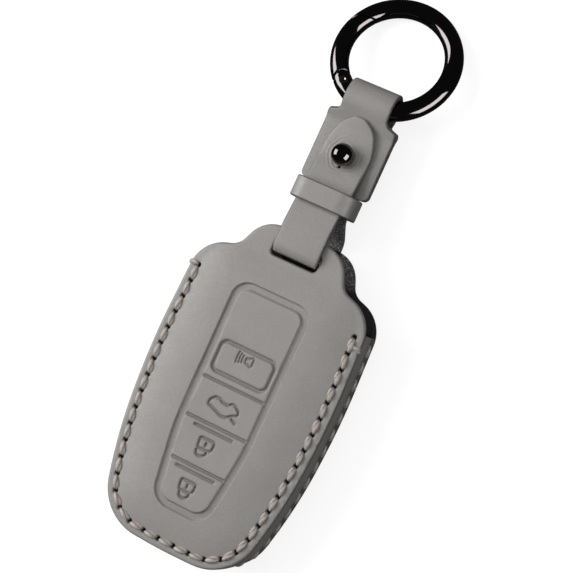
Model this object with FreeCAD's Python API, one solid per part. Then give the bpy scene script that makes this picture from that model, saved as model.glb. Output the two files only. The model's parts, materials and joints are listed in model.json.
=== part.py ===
import FreeCAD, Part
import math
import os
from FreeCAD import Placement, Rotation, Vector

# Moulded leather cover for a car key, with a strap, a ball stud and a spring gate ring.
# Millimetres. +Z points out of the front, +Y runs from the rounded lower end to the ring, and the
# origin is the middle of the flat rear face. Until a piece is exported, its Y is the height above
# the cover's lower edge.

# Outline of both panels
CASE_WIDTH = 49.2
BODY_LENGTH = 75.4
TAB_HEIGHT = 8.25
TAB_WIDTH = 21.6
TAB_ROOT_WIDTH = 28.8
TAB_CORNER_RADIUS = 7.7
TAB_ROOT_RADIUS = 4.2
SHOULDER_DROP = 3.0
SHOULDER_RADIUS = 9.0
BOTTOM_SAG = 0.75
BOTTOM_CORNER_RADIUS = 13.0
BOTTOM_BEND_RADIUS = 150.0
SIDE_BEND_RADIUS = 130.0
WIDEST_BEND_RADIUS = 186.0
BOTTOM_WIDTH_SHARE = 0.733
LOWER_WIDTH_SHARE = 0.946
LOWER_HEIGHT_SHARE = 0.300
WIDEST_HEIGHT_SHARE = 0.615
SHOULDER_WIDTH_SHARE = 0.958

# Leather shell, lining and gusset
CASE_THICKNESS = 18.0
CROWN_RISE = 2.0
PANEL_LEATHER = 1.6
RIM_WIDTH = 4.4
CROWN_SLOPE_RUN = 4.5
CROWN_TOP_DROP = 2.0
CROWN_CORNER_RADIUS = 10.5
LINING_THICKNESS = 0.6
LINING_SETBACK = 0.4
LINING_EDGE_GAP = 0.2
GLUE_GAP = 0.05
GUSSET_LEATHER = 1.4
GUSSET_FLANGE_WIDTH = 4.0
GUSSET_FLANGE_LEATHER = 1.2
MOUTH_DROP = 7.6

# Saddle stitching
STITCH_INSET = 2.3
STITCH_PITCH = 4.2
STITCH_LENGTH = 3.3
THREAD_RADIUS = 0.55
STITCH_SLANT_DEG = 8.0
SEAM_START_DROP = 1.2
SIDE_SEAM_RISE = 3.2
SIDE_SEAM_GAP = 0.1
WRAP_WIDTH = 0.7
WRAP_THICKNESS = 0.6
WRAP_GAP = 0.05

# Button field pressed into the front
FIELD_WIDTH = 21.2
FIELD_FOOT_MARGIN = 1.2
FIELD_HEAD_MARGIN = 0.7
FIELD_FOOT_RADIUS = 4.5
FIELD_HEAD_RADIUS = 3.2
FIELD_BEND_RADIUS = 60.0
FIELD_GROOVE_WIDTH = 1.1
FIELD_GROOVE_DEPTH = 0.45
FIELD_FOOT_WIDTH_SHARE = 0.736
FIELD_WAIST_WIDTH_SHARE = 0.985
FIELD_WAIST_HEIGHT_SHARE = 0.340
PAD_LINE_HEIGHT_SHARES = (0.208, 0.394, 0.568)
PAD_LINE_WIDTH = 1.0
PAD_GAP = 0.12
ALARM_PAD_WIDTH = 15.6
ALARM_PAD_HEIGHT = 8.6
ALARM_PAD_RADIUS = 2.2
ALARM_PAD_HEIGHT_SHARE = 0.671
ALARM_GROOVE_WIDTH = 0.8
BAR_LENGTH = 10.7
BAR_WIDTH = 0.9
BAR_DEPTH = 0.3
BAR_DROP = 0.9

# Strap
STRAP_WIDTH = 12.0
STRAP_LEATHER = 1.4
STRAP_TAB_GAP = 0.3
SLOT_SIDE_GAP = 0.3
SLOT_HEIGHT = 4.5
SLOT_RISE = 0.7
SLOT_CORNER_RADIUS = 1.0
BIGHT_SETBACK = 1.05
BIGHT_RADIUS = 1.5
LEG_LENGTH = 13.3
LEG_END_RUN = 6.4
LEG_BEND_RADIUS = 3.5
REAR_LEG_LEVEL_RUN = 2.0
FRONT_LEG_LEVEL_RUN = 1.5
FRONT_LEG_END_LIFT = 0.2
HEAD_LEVEL = 9.6
PLY_GAP = 0.1
PLATE_WIDTH = 18.2
PLATE_LENGTH = 18.6
PLATE_CORNER_RADIUS = 1.5
NECK_WIDTH = 12.4
NECK_LENGTH = 3.9
NECK_SHOULDER_RUN = 1.2
NECK_FILLET_RADIUS = 1.1
NECK_SPREAD_RUN = 6.5
NECK_SPREAD_RADIUS = 4.0
LOOP_INNER_RADIUS = 3.4

# Tongue flap
TONGUE_WIDTH = 12.3
TONGUE_LENGTH = 18.3
TONGUE_ROOT_SETBACK = 0.95
TONGUE_RAMP_RISE = 1.7
TONGUE_RAMP_RUN = 5.5
TONGUE_BEND_RADIUS = 8.0
TONGUE_TIP_LIFT = 1.2
TONGUE_TIP_RUN = 3.4
TONGUE_POINT_LENGTH = 7.0
TONGUE_SIDE_RADIUS = 14.0
TONGUE_CHEEK_DROP = 2.25
TONGUE_CHEEK_RADIUS = 6.0
TONGUE_CHEEK_WIDTH_SHARE = 0.70
TONGUE_TIP_RADIUS = 2.2
TONGUE_TIP_WIDTH_SHARE = 0.20
TONGUE_HINGE_GAP = 0.3
TONGUE_STUD_GAP = 0.15
BUTTONHOLE_GAP = 0.3
SLIT_LENGTH = 3.3
SLIT_WIDTH = 0.5

# Keeper
KEEPER_LENGTH = 5.4
KEEPER_LEATHER = 1.2
KEEPER_PLATE_GAP = 0.2
KEEPER_TOP_GAP = 0.75
KEEPER_BOTTOM_GAP = 1.6
KEEPER_TOP_SIDE_GAP = 1.2
KEEPER_BOTTOM_SIDE_GAP = 0.4
KEEPER_TOP_RADIUS = 2.8
KEEPER_BOTTOM_RADIUS = 1.6

# Ball stud
STUD_HEIGHT = 8.2
STUD_BASE_RADIUS = 3.3
STUD_BASE_THICKNESS = 0.6
STUD_NECK_RADIUS = 1.7
STUD_BALL_RADIUS = 2.8
STUD_BALL_RISE = 4.3
STUD_SCREW_RADIUS = 1.0
STUD_SCREW_DEPTH = 3.6
STUD_SCREW_GAP = 0.05
SCREW_HEAD_RADIUS = 3.6
SCREW_HEAD_THICKNESS = 1.0
SCREW_SLOT_WIDTH = 0.9
SCREW_SLOT_DEPTH = 0.5
PLATE_HOLE_GAP = 0.2

# Spring gate ring
RING_MEAN_RADIUS = 14.1
WIRE_RADIUS = 2.35
SWING_OFFSET = 0.8
RING_TABLE_GAP = 0.02
GATE_HINGE_DEG = 231.0
GATE_END_DEG = 164.0
GATE_GAP = 0.15
GATE_LIP_LENGTH = 1.0
GATE_LIP_RISE = 0.9
KNUCKLE_RADIUS = 1.9
KNUCKLE_THICKNESS = 1.6
KNUCKLE_SIDE_GAP = 0.1
CHEEK_RADIUS = 2.25
CHEEK_GAP = 0.2
PIN_RADIUS = 0.8
PIN_GAP = 0.04
PIN_HEAD_RADIUS = 1.1
PIN_HEAD_THICKNESS = 0.25
HEEL_FLAT_DISTANCE = 1.5
BORE_RADIUS = 0.76
BORE_DEPTH = 5.8
BORE_TURN_DEG = 12.0
PLUNGER_RADIUS = 0.7
PLUNGER_LENGTH = 2.2
PLUNGER_GAP = 0.03
SPRING_OUTER_RADIUS = 0.68
SPRING_WIRE = 0.25

# How far a cutting solid runs past what it cuts
OVERRUN = 1.0

# Places worked out from the sizes above
CASE_LENGTH = BODY_LENGTH + TAB_HEIGHT
FRONT_RIM_TOP = CASE_THICKNESS - CROWN_RISE
FRONT_RIM_UNDER = FRONT_RIM_TOP - PANEL_LEATHER
REAR_RIM_TOP = CROWN_RISE + PANEL_LEATHER
MID_LEVEL = CASE_THICKNESS / 2
MOUTH_HEIGHT = BODY_LENGTH - MOUTH_DROP
SEAM_START = MOUTH_HEIGHT - SEAM_START_DROP
FIELD_FOOT = RIM_WIDTH + CROWN_SLOPE_RUN + FIELD_FOOT_MARGIN
FIELD_HEAD = BODY_LENGTH - CROWN_TOP_DROP - CROWN_SLOPE_RUN - FIELD_HEAD_MARGIN
FIELD_LENGTH = FIELD_HEAD - FIELD_FOOT

HALF_STRAP = STRAP_LEATHER / 2
SLOT_FOOT = BODY_LENGTH + SLOT_RISE
BIGHT_HEIGHT = SLOT_FOOT + BIGHT_SETBACK + HALF_STRAP
REAR_LEG_LEVEL = CROWN_RISE - STRAP_TAB_GAP - HALF_STRAP
FRONT_LEG_LEVEL = FRONT_RIM_TOP + STRAP_TAB_GAP + HALF_STRAP
PLATE_FOOT = CASE_LENGTH + LEG_LENGTH
PLATE_HEAD = PLATE_FOOT + PLATE_LENGTH
REAR_PLY_LEVEL = HEAD_LEVEL - PLY_GAP / 2 - HALF_STRAP
FRONT_PLY_LEVEL = HEAD_LEVEL + PLY_GAP / 2 + HALF_STRAP
PLATE_TOP = FRONT_PLY_LEVEL + HALF_STRAP
PLATE_BOTTOM = REAR_PLY_LEVEL - HALF_STRAP
LOOP_HEIGHT = PLATE_HEAD + NECK_LENGTH
LOOP_MEAN_RADIUS = LOOP_INNER_RADIUS + HALF_STRAP

STUD_PLACE = PLATE_FOOT + STUD_HEIGHT
TONGUE_LEVEL = PLATE_TOP + STUD_BASE_THICKNESS + TONGUE_STUD_GAP + HALF_STRAP
TONGUE_ROOT_LEVEL = TONGUE_LEVEL + TONGUE_RAMP_RISE
TONGUE_ROOT = PLATE_FOOT + TONGUE_ROOT_SETBACK
TONGUE_TIP = PLATE_FOOT + TONGUE_LENGTH
FRONT_LEG_END = TONGUE_ROOT - HALF_STRAP - TONGUE_HINGE_GAP

RING_REACH = 2 * RING_MEAN_RADIUS - SWING_OFFSET
RING_TILT_DEG = math.degrees(math.asin((HEAD_LEVEL - WIRE_RADIUS - RING_TABLE_GAP) / RING_REACH))


# Flat outlines: a corner is (x, y, radius), listed anticlockwise


def both_halves(half):
    """A closed outline from its right half, listed from the lower end upwards."""
    left = [(-x, y, radius) for x, y, radius in reversed(half) if x > 0]
    return half + left


def unit(start, end):
    """Direction from one corner to the next."""
    run, rise = end[0] - start[0], end[1] - start[1]
    length = math.hypot(run, rise)
    return run / length, rise / length


def offset(corners, distance, closed=True):
    """The outline moved to its left by a distance: inwards where it is closed."""
    moved = []
    count = len(corners)
    for index, (x, y, radius) in enumerate(corners):
        first, last = index == 0, index == count - 1
        before = unit(corners[index - 1], corners[index]) if closed or not first else None
        after = unit(corners[index], corners[(index + 1) % count]) if closed or not last else None
        before, after = before or after, after or before
        shift = distance / (1 + before[0] * after[0] + before[1] * after[1])
        turn = before[0] * after[1] - before[1] * after[0]
        moved.append((
            x - (before[1] + after[1]) * shift,
            y + (before[0] + after[0]) * shift,
            max(radius - math.copysign(distance, turn), 0) if radius else 0,
        ))
    return moved


def rounded_edges(corners, closed=True):
    """Lines and arcs along the corners; a radius is limited by the runs beside it."""
    count = len(corners)
    points = [Vector(x, y, 0) for x, y, radius in corners]
    cut_back = [0.0] * count
    inner = range(count) if closed else range(1, count - 1)
    for index in inner:
        before = unit(corners[index - 1], corners[index])
        after = unit(corners[index], corners[(index + 1) % count])
        cosine = before[0] * after[0] + before[1] * after[1]
        half_turn = math.acos(max(-1.0, min(1.0, cosine))) / 2
        cut_back[index] = corners[index][2] * math.tan(half_turn)
    fit = [1.0] * count
    for index in range(count if closed else count - 1):
        following = (index + 1) % count
        taken = cut_back[index] + cut_back[following]
        length = points[index].distanceToPoint(points[following])
        if taken > length:
            fit[index] = min(fit[index], length / taken)
            fit[following] = min(fit[following], length / taken)
    edges = []
    pen = None
    first = None
    for index in range(count):
        back = cut_back[index] * fit[index]
        corner = points[index]
        if back == 0:
            enter = leave = corner
        else:
            towards = (points[index - 1] - corner).normalize()
            away = (points[(index + 1) % count] - corner).normalize()
            enter, leave = corner + towards * back, corner + away * back
        if pen is not None and pen.distanceToPoint(enter) > Part.Precision.confusion():
            edges.append(Part.LineSegment(pen, enter).toShape())
        if back:
            middle = towards + away
            spread = middle.Length / 2
            reach = back / spread * (1 - math.sqrt(1 - spread * spread))
            edges.append(Part.Arc(enter, corner + middle.normalize() * reach, leave).toShape())
        first = first or enter
        pen = leave
    if closed and pen.distanceToPoint(first) > Part.Precision.confusion():
        edges.append(Part.LineSegment(pen, first).toShape())
    return edges


def outline_wire(corners, level=0.0):
    """Closed wire of an outline at a level."""
    wire = Part.Wire(rounded_edges(corners))
    return wire.translated(Vector(0, 0, level))


def prism(corners, low, high):
    """An outline raised from one level to another."""
    return Part.Face(outline_wire(corners, low)).extrude(Vector(0, 0, high - low))


def rectangle(width, foot, head, radius=0.0):
    """Outline of a rectangle that stands on the axis, with rounded corners."""
    half = width / 2
    return both_halves([(half, foot, radius), (half, head, radius)])


def strip_outline(path, thickness):
    """Outline of a strip of leather whose middle follows an open path."""
    right = rounded_edges(offset(path, -thickness / 2, closed=False), closed=False)
    left = rounded_edges(offset(path, thickness / 2, closed=False), closed=False)
    starts = [side[0].Vertexes[0].Point for side in (right, left)]
    ends = [side[-1].Vertexes[-1].Point for side in (right, left)]
    caps = [Part.LineSegment(*pair).toShape() for pair in (starts, ends)]
    return Part.Wire(Part.__sortEdges__(right + left + caps))


def strip(path, thickness, width):
    """A strip of leather bent along a path of (height, level) corners, centred on the axis."""
    across = Part.Face(strip_outline(path, thickness)).extrude(Vector(0, 0, width))
    across.translate(Vector(0, 0, -width / 2))
    across.Placement = Placement(Vector(), Rotation(Vector(1, 1, 1), 120)) * across.Placement
    return across


def upright(radius, low, high, x=0.0, y=0.0):
    """A cylinder that stands along Z."""
    return Part.makeCylinder(radius, high - low, Vector(x, y, low))


def block(low, high):
    """A box from its lowest to its highest corner."""
    size = high - low
    return Part.makeBox(size.x, size.y, size.z, low)


def fused(shapes):
    """One solid from several that meet."""
    first, rest = shapes[0], shapes[1:]
    return first.fuse(rest).removeSplitter() if rest else first


# Outlines of the cover

HALF_CASE = CASE_WIDTH / 2
SIDE_CORNERS = [
    (0.0, 0.0, BOTTOM_BEND_RADIUS),
    (HALF_CASE * BOTTOM_WIDTH_SHARE, BOTTOM_SAG, BOTTOM_CORNER_RADIUS),
    (HALF_CASE * LOWER_WIDTH_SHARE, BODY_LENGTH * LOWER_HEIGHT_SHARE, SIDE_BEND_RADIUS),
    (HALF_CASE, BODY_LENGTH * WIDEST_HEIGHT_SHARE, WIDEST_BEND_RADIUS),
]
SHOULDER = (HALF_CASE * SHOULDER_WIDTH_SHARE, BODY_LENGTH - SHOULDER_DROP, SHOULDER_RADIUS)
CASE_OUTLINE = both_halves(SIDE_CORNERS + [
    SHOULDER,
    (TAB_ROOT_WIDTH / 2, BODY_LENGTH, TAB_ROOT_RADIUS),
    (TAB_WIDTH / 2, CASE_LENGTH, TAB_CORNER_RADIUS),
])
CROWN_OUTLINE = both_halves(SIDE_CORNERS + [
    (SHOULDER[0], BODY_LENGTH - CROWN_TOP_DROP + RIM_WIDTH, CROWN_CORNER_RADIUS),
])
HALF_FIELD = FIELD_WIDTH / 2
FIELD_OUTLINE = both_halves([
    (HALF_FIELD * FIELD_FOOT_WIDTH_SHARE, FIELD_FOOT, FIELD_FOOT_RADIUS),
    (HALF_FIELD * FIELD_WAIST_WIDTH_SHARE, FIELD_FOOT + FIELD_LENGTH * FIELD_WAIST_HEIGHT_SHARE,
     FIELD_BEND_RADIUS),
    (HALF_FIELD, FIELD_HEAD, FIELD_HEAD_RADIUS),
])
PAD_LINES = [FIELD_FOOT + FIELD_LENGTH * share for share in PAD_LINE_HEIGHT_SHARES]
ALARM_PAD_MIDDLE = FIELD_FOOT + FIELD_LENGTH * ALARM_PAD_HEIGHT_SHARE
ALARM_OUTLINE = rectangle(
    ALARM_PAD_WIDTH,
    ALARM_PAD_MIDDLE - ALARM_PAD_HEIGHT / 2,
    ALARM_PAD_MIDDLE + ALARM_PAD_HEIGHT / 2,
    ALARM_PAD_RADIUS,
)
SLOT_OUTLINE = rectangle(
    STRAP_WIDTH + 2 * SLOT_SIDE_GAP, SLOT_FOOT, SLOT_FOOT + SLOT_HEIGHT, SLOT_CORNER_RADIUS)


def mouth_side(height, inset=0.0):
    """Half width of the cover near its mouth, where the side is straight."""
    sides = offset(CASE_OUTLINE, inset)
    low, high = sides[len(SIDE_CORNERS) - 1], sides[len(SIDE_CORNERS)]
    share = (height - low[1]) / (high[1] - low[1])
    return low[0] + (high[0] - low[0]) * share


def seam_points(inset):
    """Evenly spaced points along the seam, two to a stitch, from mouth to mouth round the bottom."""
    sides = offset(CASE_OUTLINE, inset)[:len(SIDE_CORNERS)]
    end = (mouth_side(SEAM_START, inset), SEAM_START, 0)
    right = sides[1:] + [end]
    left = [(-x, y, radius) for x, y, radius in reversed(right)]
    wire = Part.Wire(rounded_edges(left + sides[:1] + right, closed=False))
    count = round(wire.Length / STITCH_PITCH)
    return wire.discretize(Number=2 * count + 1)


# Shell of the cover


def crown(foot_level):
    """The raised middle of a panel: a low frustum from its foot to its flat top."""
    foot = outline_wire(offset(CROWN_OUTLINE, RIM_WIDTH), foot_level)
    top = outline_wire(offset(CROWN_OUTLINE, RIM_WIDTH + CROWN_SLOPE_RUN), foot_level + CROWN_RISE)
    return Part.makeLoft([foot, top], True, True)


def crowned_sheet(flat, under, thickness):
    """A flat sheet whose middle is pressed out into the crown."""
    return fused([flat, crown(under + thickness)]).cut(crown(under))


def plain_panel():
    """A front panel before the buttons are pressed into it."""
    flat = prism(CASE_OUTLINE, FRONT_RIM_UNDER, FRONT_RIM_TOP)
    slot = prism(SLOT_OUTLINE, FRONT_RIM_UNDER - OVERRUN, FRONT_RIM_TOP + OVERRUN)
    return crowned_sheet(flat, FRONT_RIM_UNDER, PANEL_LEATHER).cut(slot)


def plain_lining():
    """The suede under a front panel, clear of the gusset's flange."""
    high = FRONT_RIM_UNDER - GLUE_GAP
    low = high - LINING_THICKNESS
    whole = prism(offset(CASE_OUTLINE, LINING_SETBACK), low, high)
    inside = prism(offset(CASE_OUTLINE, GUSSET_FLANGE_WIDTH + LINING_EDGE_GAP), low, high)
    below_mouth = block(
        Vector(-CASE_WIDTH, -OVERRUN, low - OVERRUN),
        Vector(CASE_WIDTH, MOUTH_HEIGHT + LINING_EDGE_GAP, high + OVERRUN),
    )
    flat = whole.cut(below_mouth).fuse(inside).removeSplitter()
    slot = prism(SLOT_OUTLINE, low - OVERRUN, high + OVERRUN)
    return crowned_sheet(flat, low, LINING_THICKNESS).cut(slot)


def to_rear(shape):
    """The same piece on the rear: its mirror image about the middle level."""
    return shape.mirror(Vector(0, 0, MID_LEVEL), Vector(0, 0, 1))


def pad_prism(number, grow, low, high):
    """The space of a button pad between its lines, grown by a gap all round."""
    lines = [FIELD_FOOT + FIELD_GROOVE_WIDTH - PAD_LINE_WIDTH / 2] + PAD_LINES
    foot = lines[number] + PAD_LINE_WIDTH / 2 - grow
    head = lines[number + 1] - PAD_LINE_WIDTH / 2 + grow
    field = prism(offset(FIELD_OUTLINE, FIELD_GROOVE_WIDTH - grow), low, high)
    return field.common(block(Vector(-CASE_WIDTH, foot, low), Vector(CASE_WIDTH, head, high)))


def alarm_prism(grow, low, high):
    """The space of the alarm pad, grown by a gap all round."""
    return prism(offset(ALARM_OUTLINE, -grow), low, high)


PAD_NODES = ("lock_pad", "unlock_pad", "trunk_pad")
BARRED_PADS = ("lock_pad", "unlock_pad")


def front_panel():
    """The front, with the pressed grooves and an opening for each pad."""
    low, high = FRONT_RIM_UNDER, CASE_THICKNESS + OVERRUN
    floor = CASE_THICKNESS - FIELD_GROOVE_DEPTH
    inner = prism(offset(FIELD_OUTLINE, FIELD_GROOVE_WIDTH), floor, high)
    border = prism(FIELD_OUTLINE, floor, high).cut(inner)
    lines = [
        inner.common(block(
            Vector(-CASE_WIDTH, line - PAD_LINE_WIDTH / 2, floor),
            Vector(CASE_WIDTH, line + PAD_LINE_WIDTH / 2, high),
        ))
        for line in PAD_LINES
    ]
    ring = alarm_prism(ALARM_GROOVE_WIDTH, floor, high)
    openings = [pad_prism(number, PAD_GAP, low, high) for number in range(len(PAD_NODES))]
    openings.append(alarm_prism(PAD_GAP, low, high))
    return plain_panel().cut([border, ring] + lines + openings)


def pads():
    """The pads, each a field of the moulded front that can be pressed in."""
    low, high = CASE_THICKNESS - PANEL_LEATHER, CASE_THICKNESS
    made = {"alarm_pad": alarm_prism(0.0, low, high)}
    for number, name in enumerate(PAD_NODES):
        pad = pad_prism(number, 0.0, low, high)
        if name in BARRED_PADS:
            head = pad.BoundBox.YMax - BAR_DROP
            pad = pad.cut(block(
                Vector(-BAR_LENGTH / 2, head - BAR_WIDTH, high - BAR_DEPTH),
                Vector(BAR_LENGTH / 2, head, high + OVERRUN),
            ))
        made[name] = pad
    return made


def front_lining():
    """The front's lining, cut away behind the button field."""
    return plain_lining().cut(prism(FIELD_OUTLINE, MID_LEVEL, CASE_THICKNESS))


def side_gusset():
    """A channel of leather round the sides and bottom, open towards the key."""
    wall = prism(CASE_OUTLINE, REAR_RIM_TOP, FRONT_RIM_UNDER)
    channel = prism(
        offset(CASE_OUTLINE, GUSSET_LEATHER),
        REAR_RIM_TOP + GUSSET_FLANGE_LEATHER,
        FRONT_RIM_UNDER - GUSSET_FLANGE_LEATHER,
    )
    pocket = prism(offset(CASE_OUTLINE, GUSSET_FLANGE_WIDTH), REAR_RIM_TOP, FRONT_RIM_UNDER)
    mouth = block(
        Vector(-CASE_WIDTH, MOUTH_HEIGHT, -OVERRUN),
        Vector(CASE_WIDTH, CASE_LENGTH + OVERRUN, CASE_THICKNESS + OVERRUN),
    )
    return wall.cut([channel, pocket, mouth])


# Thread


def half_stitch():
    """One stitch on the surface: half of a round-ended bar, flat side down, along X."""
    half = STITCH_LENGTH / 2 - THREAD_RADIUS
    bow = THREAD_RADIUS * math.sqrt(0.5)
    left, right = Vector(-half - THREAD_RADIUS, 0, 0), Vector(half + THREAD_RADIUS, 0, 0)
    left_top, right_top = Vector(-half, THREAD_RADIUS, 0), Vector(half, THREAD_RADIUS, 0)
    profile = Part.Wire([
        Part.Arc(left, Vector(-half - bow, bow, 0), left_top).toShape(),
        Part.LineSegment(left_top, right_top).toShape(),
        Part.Arc(right_top, Vector(half + bow, bow, 0), right).toShape(),
        Part.LineSegment(right, left).toShape(),
    ])
    return Part.Face(profile).revolve(Vector(), Vector(1, 0, 0), 180)


def laid_stitch(stitch, place, along, outwards):
    """A stitch laid on a surface, slanted a little across its seam."""
    turned = Rotation(along, outwards.cross(along), outwards, "ZXY")
    slant = Rotation(Vector(0, 0, 1), STITCH_SLANT_DEG)
    laid = stitch.copy()
    laid.Placement = Placement(place, turned * slant)
    return laid


def seam(inset, level, outwards=None):
    """Stitches along the seam at a level; with no direction given they lie on the side wall."""
    points = seam_points(inset)
    stitch = half_stitch()
    row = []
    for index in range(1, len(points) - 1, 2):
        along = (points[index + 1] - points[index - 1]).normalize()
        facing = outwards or along.cross(Vector(0, 0, 1))
        place = Vector(points[index].x, points[index].y, level)
        row.append(laid_stitch(stitch, place, along, facing))
    return row


def seam_wraps():
    """Thread that goes over the edge at both ends of the seams, round all the layers."""
    inner = mouth_side(SEAM_START, STITCH_INSET)
    edge = mouth_side(SEAM_START - WRAP_WIDTH / 2) + WRAP_GAP
    foot, head = SEAM_START - WRAP_WIDTH / 2, SEAM_START + WRAP_WIDTH / 2
    outer = block(
        Vector(inner, foot, CROWN_RISE - WRAP_THICKNESS),
        Vector(edge + WRAP_THICKNESS, head, FRONT_RIM_TOP + WRAP_THICKNESS),
    )
    held = block(
        Vector(inner - OVERRUN, foot - OVERRUN, CROWN_RISE),
        Vector(edge, head + OVERRUN, FRONT_RIM_TOP),
    )
    right = outer.cut(held)
    outside = [
        edge_line for edge_line in right.Edges
        if edge_line.BoundBox.XMin > edge and edge_line.BoundBox.ZLength > WRAP_THICKNESS
    ]
    right = right.makeFillet(WRAP_THICKNESS / 2, outside)
    return [right, right.mirror(Vector(), Vector(1, 0, 0))]


# Strap


def strap_loop():
    """Two legs and the bight that joins them through the slots of both tabs."""
    path = [
        (PLATE_FOOT, REAR_PLY_LEVEL, 0),
        (PLATE_FOOT - LEG_END_RUN, REAR_PLY_LEVEL, LEG_BEND_RADIUS),
        (CASE_LENGTH + REAR_LEG_LEVEL_RUN, REAR_LEG_LEVEL, LEG_BEND_RADIUS),
        (BIGHT_HEIGHT, REAR_LEG_LEVEL, BIGHT_RADIUS),
        (BIGHT_HEIGHT, FRONT_LEG_LEVEL, BIGHT_RADIUS),
        (CASE_LENGTH + FRONT_LEG_LEVEL_RUN, FRONT_LEG_LEVEL, LEG_BEND_RADIUS),
        (FRONT_LEG_END, TONGUE_ROOT_LEVEL + FRONT_LEG_END_LIFT, 0),
    ]
    return strip(path, STRAP_LEATHER, STRAP_WIDTH)


def strap_plate():
    """The double plate and the folded neck round the ring."""
    spread = LOOP_HEIGHT - NECK_SPREAD_RUN
    drop = HEAD_LEVEL - REAR_PLY_LEVEL
    reach = math.hypot(NECK_SPREAD_RUN, drop)
    fall = math.asin(LOOP_MEAN_RADIUS / reach) - math.atan2(drop, NECK_SPREAD_RUN)
    fold = LOOP_HEIGHT + LOOP_MEAN_RADIUS
    corner_drop = drop + math.tan(fall) * (fold - spread)
    path = [
        (PLATE_FOOT - OVERRUN, REAR_PLY_LEVEL, 0),
        (spread, REAR_PLY_LEVEL, NECK_SPREAD_RADIUS),
        (fold, HEAD_LEVEL - corner_drop, LOOP_MEAN_RADIUS),
        (fold, HEAD_LEVEL + corner_drop, LOOP_MEAN_RADIUS),
        (spread, FRONT_PLY_LEVEL, NECK_SPREAD_RADIUS),
        (PLATE_FOOT - OVERRUN, FRONT_PLY_LEVEL, 0),
    ]
    folded = strip(path, STRAP_LEATHER, PLATE_WIDTH + OVERRUN)
    plan = both_halves([
        (PLATE_WIDTH / 2, PLATE_FOOT, PLATE_CORNER_RADIUS),
        (PLATE_WIDTH / 2, PLATE_HEAD, PLATE_CORNER_RADIUS),
        (NECK_WIDTH / 2, PLATE_HEAD + NECK_SHOULDER_RUN, NECK_FILLET_RADIUS),
        (NECK_WIDTH / 2, fold + STRAP_LEATHER, 0),
    ])
    cut_out = prism(plan, HEAD_LEVEL - corner_drop - OVERRUN, HEAD_LEVEL + corner_drop + OVERRUN)
    hole = upright(
        STUD_SCREW_RADIUS + PLATE_HOLE_GAP,
        PLATE_BOTTOM - OVERRUN, PLATE_TOP + OVERRUN, y=STUD_PLACE)
    return folded.common(cut_out).cut(hole)


def tongue_flap():
    """The free end of the strap: a pointed tip that rides up on the neck, a buttonhole and its slit."""
    path = [
        (TONGUE_ROOT, TONGUE_ROOT_LEVEL, 0),
        (TONGUE_ROOT + TONGUE_RAMP_RUN, TONGUE_LEVEL, TONGUE_BEND_RADIUS),
        (TONGUE_TIP - TONGUE_TIP_RUN, TONGUE_LEVEL, TONGUE_BEND_RADIUS),
        (TONGUE_TIP + TONGUE_TIP_RUN, TONGUE_LEVEL + 2 * TONGUE_TIP_LIFT, 0),
    ]
    sheet = strip(path, STRAP_LEATHER, TONGUE_WIDTH + OVERRUN)
    root = Part.makeCylinder(
        HALF_STRAP, TONGUE_WIDTH + OVERRUN,
        Vector(-(TONGUE_WIDTH + OVERRUN) / 2, TONGUE_ROOT, TONGUE_ROOT_LEVEL), Vector(1, 0, 0))
    plan = [
        (TONGUE_WIDTH / 2, TONGUE_ROOT - STRAP_LEATHER, 0),
        (TONGUE_WIDTH / 2, TONGUE_TIP - TONGUE_POINT_LENGTH, TONGUE_SIDE_RADIUS),
        (TONGUE_WIDTH / 2 * TONGUE_CHEEK_WIDTH_SHARE, TONGUE_TIP - TONGUE_CHEEK_DROP, TONGUE_CHEEK_RADIUS),
        (TONGUE_WIDTH / 2 * TONGUE_TIP_WIDTH_SHARE, TONGUE_TIP, TONGUE_TIP_RADIUS),
    ]
    low, high = TONGUE_LEVEL - STRAP_LEATHER, TONGUE_ROOT_LEVEL + STRAP_LEATHER
    cut_out = prism(both_halves(plan), low, high)
    hole = upright(STUD_NECK_RADIUS + BUTTONHOLE_GAP, low, high, y=STUD_PLACE)
    slit = block(
        Vector(-SLIT_WIDTH / 2, STUD_PLACE - SLIT_LENGTH, low),
        Vector(SLIT_WIDTH / 2, STUD_PLACE, high),
    )
    return fused([sheet, root]).common(cut_out).cut([hole, slit])


def strap_keeper():
    """A loose loop of leather round both legs, below the plate."""
    head = PLATE_FOOT - KEEPER_PLATE_GAP
    foot = head - KEEPER_LENGTH
    leg_low = REAR_PLY_LEVEL - HALF_STRAP
    front_run = FRONT_LEG_END - CASE_LENGTH - FRONT_LEG_LEVEL_RUN
    front_share = (foot - CASE_LENGTH - FRONT_LEG_LEVEL_RUN) / front_run
    leg_end = TONGUE_ROOT_LEVEL + FRONT_LEG_END_LIFT
    leg_high = FRONT_LEG_LEVEL + (leg_end - FRONT_LEG_LEVEL) * front_share + HALF_STRAP
    bottom_half = STRAP_WIDTH / 2 + KEEPER_BOTTOM_SIDE_GAP
    top_half = STRAP_WIDTH / 2 + KEEPER_TOP_SIDE_GAP
    inner = both_halves([
        (bottom_half, leg_low - KEEPER_BOTTOM_GAP, KEEPER_BOTTOM_RADIUS),
        (top_half, leg_high + KEEPER_TOP_GAP, KEEPER_TOP_RADIUS),
    ])
    outer = offset(inner, -KEEPER_LEATHER)
    band = prism(outer, -head, -foot).cut(prism(inner, -head - OVERRUN, -foot + OVERRUN))
    band.Placement = Placement(Vector(), Rotation(Vector(1, 0, 0), 90)) * band.Placement
    return band


# Ball stud


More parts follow.
